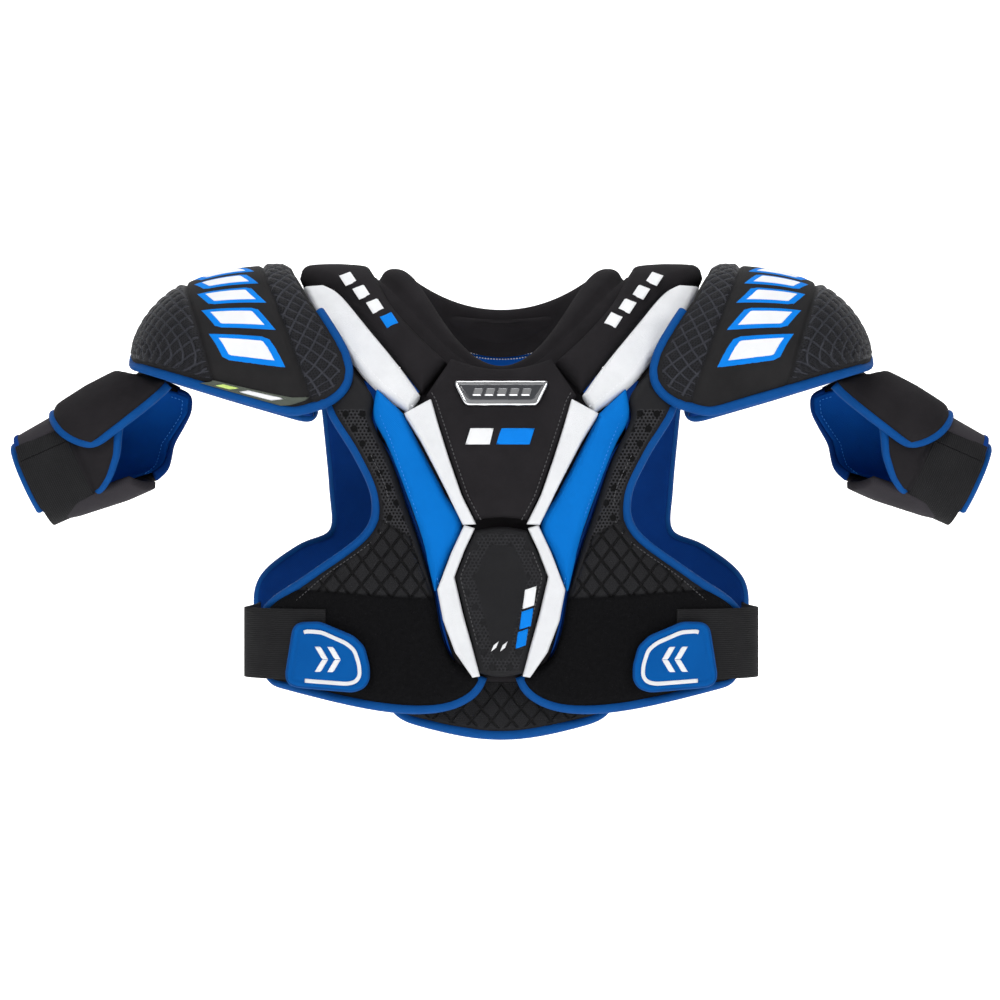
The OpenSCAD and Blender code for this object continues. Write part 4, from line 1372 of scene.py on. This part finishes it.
for side, sign in SIDES.items():
    front_z, back_z = np.linspace(-78, 8, 31), np.linspace(-70, 8, 31)
    yoke_front = worn(np.interp(front_z, [-78, -62, -30, 8], [104, 112, 139, 160]), front_z, 7)
    yoke_back = worn(np.interp(back_z, [-70, -38, 8], [140, 147, 156]), back_z, 9, "back")
    inner = np.concatenate([yoke_front, yoke_back[::-1]]) * [sign, 1, 1]
    v = np.concatenate([np.linspace(0.12, 0.47, 31), np.linspace(0.53, 0.94, 31)])
    outer = cap_place(0.07, v, 8.0, sign)
    crest = (inner + outer) / 2
    link = thin_skin(f"shoulder_link_{side}", [inner, inner * 0.7 + outer * 0.3, crest,
                                               inner * 0.25 + outer * 0.75, outer])
    dressed(link, BLACK, ("chest", f"cap_{side}", (sign * 0.150, 0, 0.0),
                          (sign * 0.180, 0, 0.0)))

tag_v = np.linspace(0.0006, 0.0120, 10)[:, None] * np.ones((1, 40))
tag_u = np.linspace(0.10, 0.56, 40)[None, :] * np.ones((10, 1))
tag_marks = np.stack([tag_u * 150, tag_v * 300], -1)
lift = inside(tag_u.shape)
tag = joined([cloth_grid("tag_top", cap_place(tag_u, tag_v, -1.4 - 1.0 * lift, -1), tag_marks),
              cloth_grid("tag_low", cap_place(tag_u, tag_v, -1.4 + 0.6 * lift, -1), tag_marks)],
             "cap_cloth_tag")
dressed(tag, TAG, "cap_right", ["cap_tag"])
for k, (u_from, u_to) in enumerate(((0.42, 0.50), (0.20, 0.38))):
    mark_u, mark_v = np.meshgrid(np.linspace(u_from, u_to, 10), np.linspace(0.0034, 0.0090, 5))
    lift = 0.7 * inside(mark_u.shape)
    marks = np.stack([mark_u * 150, mark_v * 300], -1)
    mark = joined([cloth_grid("mark_top", cap_place(mark_u, mark_v, -2.4 - lift, -1), marks),
                   cloth_grid("mark_low", cap_place(mark_u, mark_v, -2.4 + 0.4 * lift, -1),
                              marks)], f"tag_mark_{k}")
    dressed(mark, (TAG_MARK, THREAD_WHITE)[k], "cap_right")


def pressed_on(cover, points, ways):
    """Points moved along their ways until they lie on a cover."""
    skin = BVHTree.FromPolygons([v.co[:] for v in cover.data.vertices],
                                [p.vertices[:] for p in cover.data.polygons])
    flat, away = points.reshape(-1, 3).copy(), ways.reshape(-1, 3)
    for k, (point, way) in enumerate(zip(flat, away)):
        hit = skin.ray_cast(Vector((point + 14 * way) * MM), Vector(-way), 0.03)[0]
        if hit is not None:
            flat[k] = np.array(hit) / MM
    return flat.reshape(points.shape)


def cap_print(name, u_mid, v_mid, wide, tall, lean, depth, material, sign):
    """A flat printed block on the cap's band; lean slants its long side."""
    side = "left" if sign > 0 else "right"
    s = np.linspace(-0.5, 0.5, 12)
    su, sv = np.meshgrid(s, s)
    u = u_mid + su * wide + sv * lean
    v = v_mid + sv * tall
    rise = inside(su.shape)
    marks = np.stack([u * 150, v * 300], -1)
    way = cap_place(u, v, -5.0, sign) - cap_place(u, v, 5.0, sign)
    way /= np.linalg.norm(way, axis=-1)[..., None]
    place = pressed_on(CAP_COVERS[side], cap_place(u, v, 0.0, sign), way)
    top = cloth_grid(name + "_top", place + way * (depth * rise)[..., None], marks)
    low = cloth_grid(name + "_low", place - way * (0.3 * rise)[..., None], marks)
    return dressed(joined([top, low], name), material, f"cap_{side}", smooth=False)


for side, sign in SIDES.items():
    for k in range(5):
        v_mid = 0.085 + 0.078 * k
        inner, outer = band_lines(np.array(v_mid))
        mid = float((inner + outer) / 2)
        span = float(outer - inner)
        cap_print(f"cap_block_edge_{side}_{k}", mid, v_mid, span * 0.66, 0.060, 0.05, 0.5,
                  PRINT_BLUE, sign)
        cap_print(f"cap_block_{side}_{k}", mid, v_mid, span * 0.54, 0.043, 0.04, 0.9,
                  PRINT_WHITE, sign)


# ---------------------------------------------------------------- arm guards
ARM_DROP = math.radians(24)
ARM_ROOT = np.array([262.0, 0.0, -94.0])
ARM_WAY = np.array([math.cos(ARM_DROP), 0, -math.sin(ARM_DROP)])
ARM_UP = np.array([math.sin(ARM_DROP), 0, math.cos(ARM_DROP)])
ARM_LEN, SLEEVE_OUT, ARM_TAPER = 137.0, 44.0, 14.0
SLEEVE_IN = SLEEVE_OUT - 6
BAND_AT = 112.5


def arm_place(s, a, r, sign=1):
    """s mm along the arm, a degrees round it from its top, at radius r at the root."""
    s, a, r = np.broadcast_arrays(*(np.asarray(k, float) for k in (s, a, r)))
    a = np.radians(a)[..., None]
    rr = (r - ARM_TAPER * s / ARM_LEN)[..., None] + 8 * np.maximum(0, -np.cos(a)) ** 2
    p = ARM_ROOT + ARM_WAY * s[..., None] + ARM_UP * rr * np.cos(a) \
        + np.array([0, 1.12, 0]) * rr * np.sin(a)
    return p * [sign, 1, 1]


def pad_start(a):
    """Root end of the bicep pad: clear of the cap's tip, tucked under its sides."""
    return -7 + 37 * np.maximum(0, np.cos(np.radians(a))) ** 2.2


def sleeve_start(a):
    """Root end of the sleeve: cut away in front, long behind the arm."""
    return np.interp(a, [-155, -135, -112, -92, -75, -50, 0, 45, 75, 92, 120, 150, 165],
                     [92, 74, 60, 53, 46, 30, 31, 10, -8, -2, 22, 33, 46])


def arm_skin(name, a_line, s_line, r_in, r_out, sign, na=70, ns=70, edge=6.0, rim=0.4,
             relief=None, crown=0.0):
    """A pad on the arm: a_line(v) and s_line(a) give the ends of its grid."""
    v = np.linspace(0, 1, ns)[:, None] * np.ones((1, na))
    u = np.linspace(0, 1, na)[None, :] * np.ones((ns, 1))
    a0, a1 = a_line(v)
    a = a0 + (a1 - a0) * u
    s0, s1 = s_line(a)
    s = s0 + (s1 - s0) * v
    shape = np.stack([a * 0.7, s], -1)
    seam = r_in + rim * (r_out - r_in)
    d = edge_distance(arm_place(s, a, seam, sign))
    rise = dome(d, edge)
    belly = crown * np.clip(d / max(d.max(), 1e-6), 0, 1) ** 0.8
    bump = relief(a, s, d) if relief else 0
    top = cloth_grid(name + "_top", arm_place(s, a, seam + (r_out - seam + belly + bump) * rise,
                                              sign), shape)
    low = cloth_grid(name + "_low", arm_place(s, a, seam - (seam - r_in) * rise, sign), shape)
    return joined([top, low], name)


def arm_edge(a_line, s_line, r, sign):
    """The outline of an arm pad as a path, starting at its front root corner."""
    k = np.linspace(0, 1, 40)
    runs = []
    for u, v in ((k * 0, k), (k[1:], k[1:] * 0 + 1), (k[:-1][::-1] * 0 + 1, k[:-1][::-1]),
                 (k[1:-1][::-1], k[1:-1] * 0)):
        a0, a1 = a_line(v)
        a = a0 + (a1 - a0) * u
        s0, s1 = s_line(a)
        runs.append(arm_place(s0 + (s1 - s0) * v, a, r, sign))
    return runs


for side, sign in SIDES.items():
    body = f"arm_{side}"

    def wrap_angles(v):
        return -150 + 0 * v, 162 + 0 * v

    def sleeve_ends(a):
        return sleeve_start(a), ARM_LEN + 0 * a
    sleeve = arm_skin(f"sleeve_{side}", wrap_angles, sleeve_ends, SLEEVE_IN, SLEEVE_OUT, sign,
                      na=150, ns=60, edge=4, relief=lambda a, s, d: -1.5 * np.exp(
                          -((s - 90 - 3 * np.sin(np.radians(a))) / 1.5) ** 2))
    dressed(stuffed(sleeve, 1.6, slack=0.05), BLACK, body, [f"arm_sleeve_{side}"])
    lining = arm_skin(f"sleeve_lining_{side}", lambda v: (-147 + 0 * v, 159 + 0 * v),
                      lambda a: (sleeve_start(a) + 0.5, ARM_LEN - 3 + 0 * a), SLEEVE_IN - 3,
                      SLEEVE_IN - 0.6, sign, na=110, ns=50, edge=2)
    dressed(lining, LINING_BLUE, body, [f"arm_lining_{side}"])
    grip = arm_skin(f"grip_{side}", lambda v: (150 + 0 * v, 214 + 0 * v),
                    lambda a: (44 + 18 * np.abs(a - 175) / 50, ARM_LEN - 4 + 0 * a),
                    SLEEVE_IN + 1, SLEEVE_OUT + 2.5, sign, na=50, ns=40, edge=3, crown=3.0)
    dressed(grip, GRIP, body, [f"arm_grip_{side}"])

    def pad_angles(v):
        return -66 - 24 * v ** 0.8, 66 + 24 * v ** 0.8

    def pad_ends(a):
        return pad_start(a), 97 - 24 * (np.abs(a) / 90) ** 4
    pad = arm_skin(f"bicep_cushion_{side}", pad_angles, pad_ends, SLEEVE_OUT + 0.5,
                   SLEEVE_OUT + 9.5, sign, na=90, ns=80, edge=9, rim=0.4, crown=1.5)
    dressed(stuffed(pad), BLACK, body, [f"bicep_pad_{side}", f"bicep_sheet_{side}"])
    way = ARM_WAY * [sign, 1, 1]

    def arm_tube(name, path, across, thick, material, ease=10):
        path = rounded(resampled(path, 2.5), ease)
        away = path - ARM_ROOT * [sign, 1, 1]
        away = away - (away @ way)[:, None] * way
        return dressed(tube(name, path, across, thick, away), material, body)
    runs = arm_edge(pad_angles, pad_ends, SLEEVE_OUT + 4.5, sign)
    arm_tube(f"bicep_piping_{side}", np.concatenate(runs[:3]), 3.8, 4.6, PIPING)
    a = np.linspace(-74, -150, 50)
    arm_tube(f"flap_piping_{side}", arm_place(sleeve_start(a), a, SLEEVE_OUT - 2, sign), 3.6,
             4.6, PIPING, ease=4)
    a = np.linspace(62, 162, 60)
    arm_tube(f"lining_hem_{side}", arm_place(sleeve_start(a), a, SLEEVE_OUT - 4.5, sign), 2.2,
             4.2, NAVY, ease=4)
    path = arm_place(sleeve_start(a) + 7, a, SLEEVE_IN - 3.2, sign)
    inward = (ARM_ROOT * [sign, 1, 1] - path)
    inward = inward - (inward @ way)[:, None] * way
    inward /= np.linalg.norm(inward, axis=1)[:, None]
    dressed(stitches(f"lining_stitch_{side}", path, inward, pitch=3.2, length=2.0,
                     radius=0.35), THREAD_BLUE, body)

    arm_tube(f"cuff_piping_{side}", arm_place(ARM_LEN, np.linspace(-150, 150, 90),
                                              SLEEVE_IN + 2.6, sign), 3.6, 4.6, PIPING)
    drape = np.linspace(0, 1, 9)
    hang = [cap_place(0.62, 0.5 + 0.22 * k, 21.5, sign) for k in (-1, -0.5, 0, 0.5, 1)]
    held = [arm_place(40, 60 * k, SLEEVE_OUT + 0.2, sign) for k in (-1, -0.5, 0, 0.5, 1)]
    rows = [np.stack([p * (1 - t) + q * t - [0, 0, 5 * math.sin(math.pi * t)]
                      for p, q in zip(hang, held)]) for t in drape]
    link = thin_skin(f"arm_link_{side}", rows)
    dressed(link, BLACK, (f"cap_{side}", body, (sign * 0.255, 0, -0.03),
                          (sign * 0.305, 0, -0.06)))

    # The band opens at its seam; past the seam it stays on the sleeve, under its folded end
    for label, turn, holder in (("band", (-205, -70), f"arm_strap_{side}_body"),
                                ("band_root", (-69.5, -44), body)):
        mid = arm_place(BAND_AT, np.linspace(*turn, 60), SLEEVE_OUT + 2.4, sign)
        out = mid - (ARM_ROOT + ARM_WAY * BAND_AT) * [sign, 1, 1]
        out /= np.linalg.norm(out, axis=1)[:, None]
        strap = ribbon(f"arm_{label}_{side}", mid, out, way[None], 21.5, 2.4, sides=7)
        dressed(strap, ELASTIC, holder, [f"arm_strap_{side}"] if label == "band" else ())
    for label, material, s0, s1, rise in (("fold", GRIP, 92, 133, 4.6),
                                          ("fold_tip", NAVY, 129.5, 135, 5.4)):
        end = arm_skin(f"arm_band_{label}_{side}", lambda v: (-48 + 0 * v, 12 + 0 * v),
                       lambda a: (s0 + 0 * a, s1 + 0 * a), SLEEVE_OUT + 0.2,
                       SLEEVE_OUT + rise, sign, na=40, ns=30, edge=2.2)
        dressed(end, material, body)


# ---------------------------------------------------------------- stitch rows
def stitch_row(name, line, off, thread, body, **how):
    for label, sign in SIDES.items():
        row = torso_stitches(f"{name}_{label}", line, off, mirror=sign == RIGHT, **how)
        dressed(row, thread, body)


inner_rim = [(x - 9.5, z) for x, z in CHEST_OUTER[5:9]] + [(x - 8, z - 7) for x, z in
                                                          CHEST_OUTER[9:10]]
stitch_row("chest_seam", inner_rim, PAD_OUT + 0.2, THREAD_BLACK, "chest")
stitch_row("stripe_seam_in", shifted(YOKE_TRIM_IN[1:], 3.5, -1.5), YOKE_OUT - 1.6,
           THREAD_WHITE, "chest")
stitch_row("stripe_seam_out", shifted(YOKE_TRIM_OUT[1:], -4.5, 2.5), YOKE_OUT - 1.6,
           THREAD_WHITE, "chest")
stitch_row("wing_seam", shifted(INSERT_OUTER[1:], -4.2), PAD_OUT + 3.4, THREAD_BLUE, "chest",
           length=1.8, radius=0.3)
stitch_row("plate_seam", shifted(PLATE_EDGE[1:], -4.5), PLATE_OUT + 0.4, THREAD_BLACK, "chest",
           smooth=False)
stitch_row("low_plate_seam", shifted(LOW_PLATE_EDGE[1:-1], -4.0), PLATE_OUT + 0.4,
           THREAD_BLACK, "sternum_lower", smooth=False)


# ---------------------------------------------------------------- badge and marks
def badge_outline(inset):
    """The badge's blunt corners, inset mm inside its outline."""
    pts = np.array([(-36.5, -80.5), (36.5, -80.5), (37.5, -82.5), (30, -96.5), (27, -99),
                    (-27, -99), (-30, -96.5), (-37.5, -82.5)], float)
    mid = np.array([0.0, -89.5])
    scale = 1 - inset / np.array([37.0, 9.3])
    return mid, mid + (pts - mid) * scale


badge = disc_pad("badge_plate", 0, PLATE_OUT + 1.4, PLATE_OUT + 5.5, False, spokes=160,
                 edge=1.6, rim=0.3, places=badge_outline(0))
dressed(badge, CHROME, "chest", ["badge"])
badge = disc_pad("badge_bar", 0, PLATE_OUT + 4, PLATE_OUT + 6.1, False, spokes=160, edge=0.8,
                 rim=0.3, places=badge_outline(3.4))
dressed(badge, DARK_ENAMEL, "chest")
for k in range(5):
    x = -21 + 9.5 * k
    chevron_mark(f"badge_block_{k}", [(x, -87), (x + 7, -87), (x + 5.2, -92.4),
                                      (x - 1.8, -92.4)], PLATE_OUT + 6.2, 0.8, False, CHROME,
                 "chest")
chevron_mark("plate_mark_white", [(-24, -115), (-6, -115), (-9, -127), (-28, -127)],
             PLATE_OUT + 2.2, 0.8, False, PRINT_WHITE, "chest")
chevron_mark("plate_mark_blue", [(0, -115), (26, -115), (22, -127), (-4, -127)],
             PLATE_OUT + 2.2, 0.8, False, PRINT_BLUE, "chest")
for k, (x, z, wide, tall, paint) in enumerate((
        (23, -238, 9, 15, PRINT_WHITE), (20.5, -255, 9, 14, PRINT_BLUE),
        (17, -271, 8, 13, PRINT_BLUE), (-4, -281, 4, 5, PRINT_WHITE),
        (3, -281, 4, 5, PRINT_WHITE))):
    chevron_mark(f"lower_plate_mark_{k}", [(x - wide / 2, z), (x + wide / 2, z + 3),
                                           (x + wide / 2 - 2, z - tall + 3),
                                           (x - wide / 2 - 2, z - tall)],
                 PLATE_OUT + 1.3, 0.7, False, paint, "sternum_lower")
for side, sign in SIDES.items():
    for k in range(4):
        x, z = 131 - 11.5 * k, 7 - 11.5 * k
        chevron_mark(f"yoke_mark_{side}_{k}", [(x, z), (x - 9, z + 4), (x - 15, z - 5),
                                               (x - 6, z - 9)], YOKE_OUT + 1.6, 0.8,
                     sign == RIGHT, PRINT_BLUE if k == 3 and sign == RIGHT else PRINT_WHITE,
                     "chest")
for name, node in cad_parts.items():
    if name.startswith(("sternum_sheet", "spine_sheet", "bicep_sheet", "cap_shell")):
        node.data.materials.clear()
        node.data.materials.append(SHEET)


# ---------------------------------------------------------------- floor, light, camera
def floor_cloth():
    """A pale ground that gives some light of its own, so it hardly shows."""
    mat, _, shader = finish("pale_floor")
    shader.inputs["Base Color"].default_value = (0.93, 0.93, 0.93, 1)
    shader.inputs["Roughness"].default_value = 0.9
    shader.inputs["Emission Color"].default_value = (1, 1, 1, 1)
    shader.inputs["Emission Strength"].default_value = 0.8
    return mat


clear_selection()
bpy.ops.mesh.primitive_plane_add(size=60, location=(0, 20, -1.1))
floor = bpy.context.object
floor.name = "floor"
floor.data.materials.append(floor_cloth())
bpy.ops.mesh.primitive_plane_add(size=60, location=(0, 12, 0), rotation=(math.pi / 2, 0, 0))
wall = bpy.context.object
wall.name = "back_wall"
wall.data.materials.append(floor.data.materials[0])

world = bpy.data.worlds.new("studio")
bpy.context.scene.world = world
world.use_nodes = True
world.node_tree.nodes["Background"].inputs[0].default_value = (1, 1, 1, 1)
world.node_tree.nodes["Background"].inputs[1].default_value = 0.28
bpy.context.scene.view_settings.view_transform = "Standard"


def soft_light(name, place, target, size, power):
    data = bpy.data.lights.new(name, "AREA")
    data.shape = "DISK"
    data.size = size
    data.energy = power
    lamp = bpy.data.objects.new(name, data)
    bpy.context.scene.collection.objects.link(lamp)
    lamp.location = place
    lamp.rotation_euler = (Vector(target) - Vector(place)).to_track_quat("-Z", "Y").to_euler()


soft_light("key", (-1.3, -2.2, 1.5), (0, 0, -0.15), 1.0, 38)
soft_light("fill", (1.8, -2.0, 0.8), (0, 0, -0.15), 1.2, 23.5)
soft_light("top", (0.0, -0.2, 1.9), (0, 0, -0.1), 1.2, 21)

CAMERA_DISTANCE = 2.8
camera = bpy.data.objects.new("camera", bpy.data.cameras.new("camera"))
camera.data.sensor_width = 36
camera.data.lens = 36 * CAMERA_DISTANCE / 0.82
camera.location = (-0.001, -CAMERA_DISTANCE, -0.168)
camera.rotation_euler = (math.pi / 2, 0, 0)
bpy.context.scene.collection.objects.link(camera)
bpy.context.scene.camera = camera
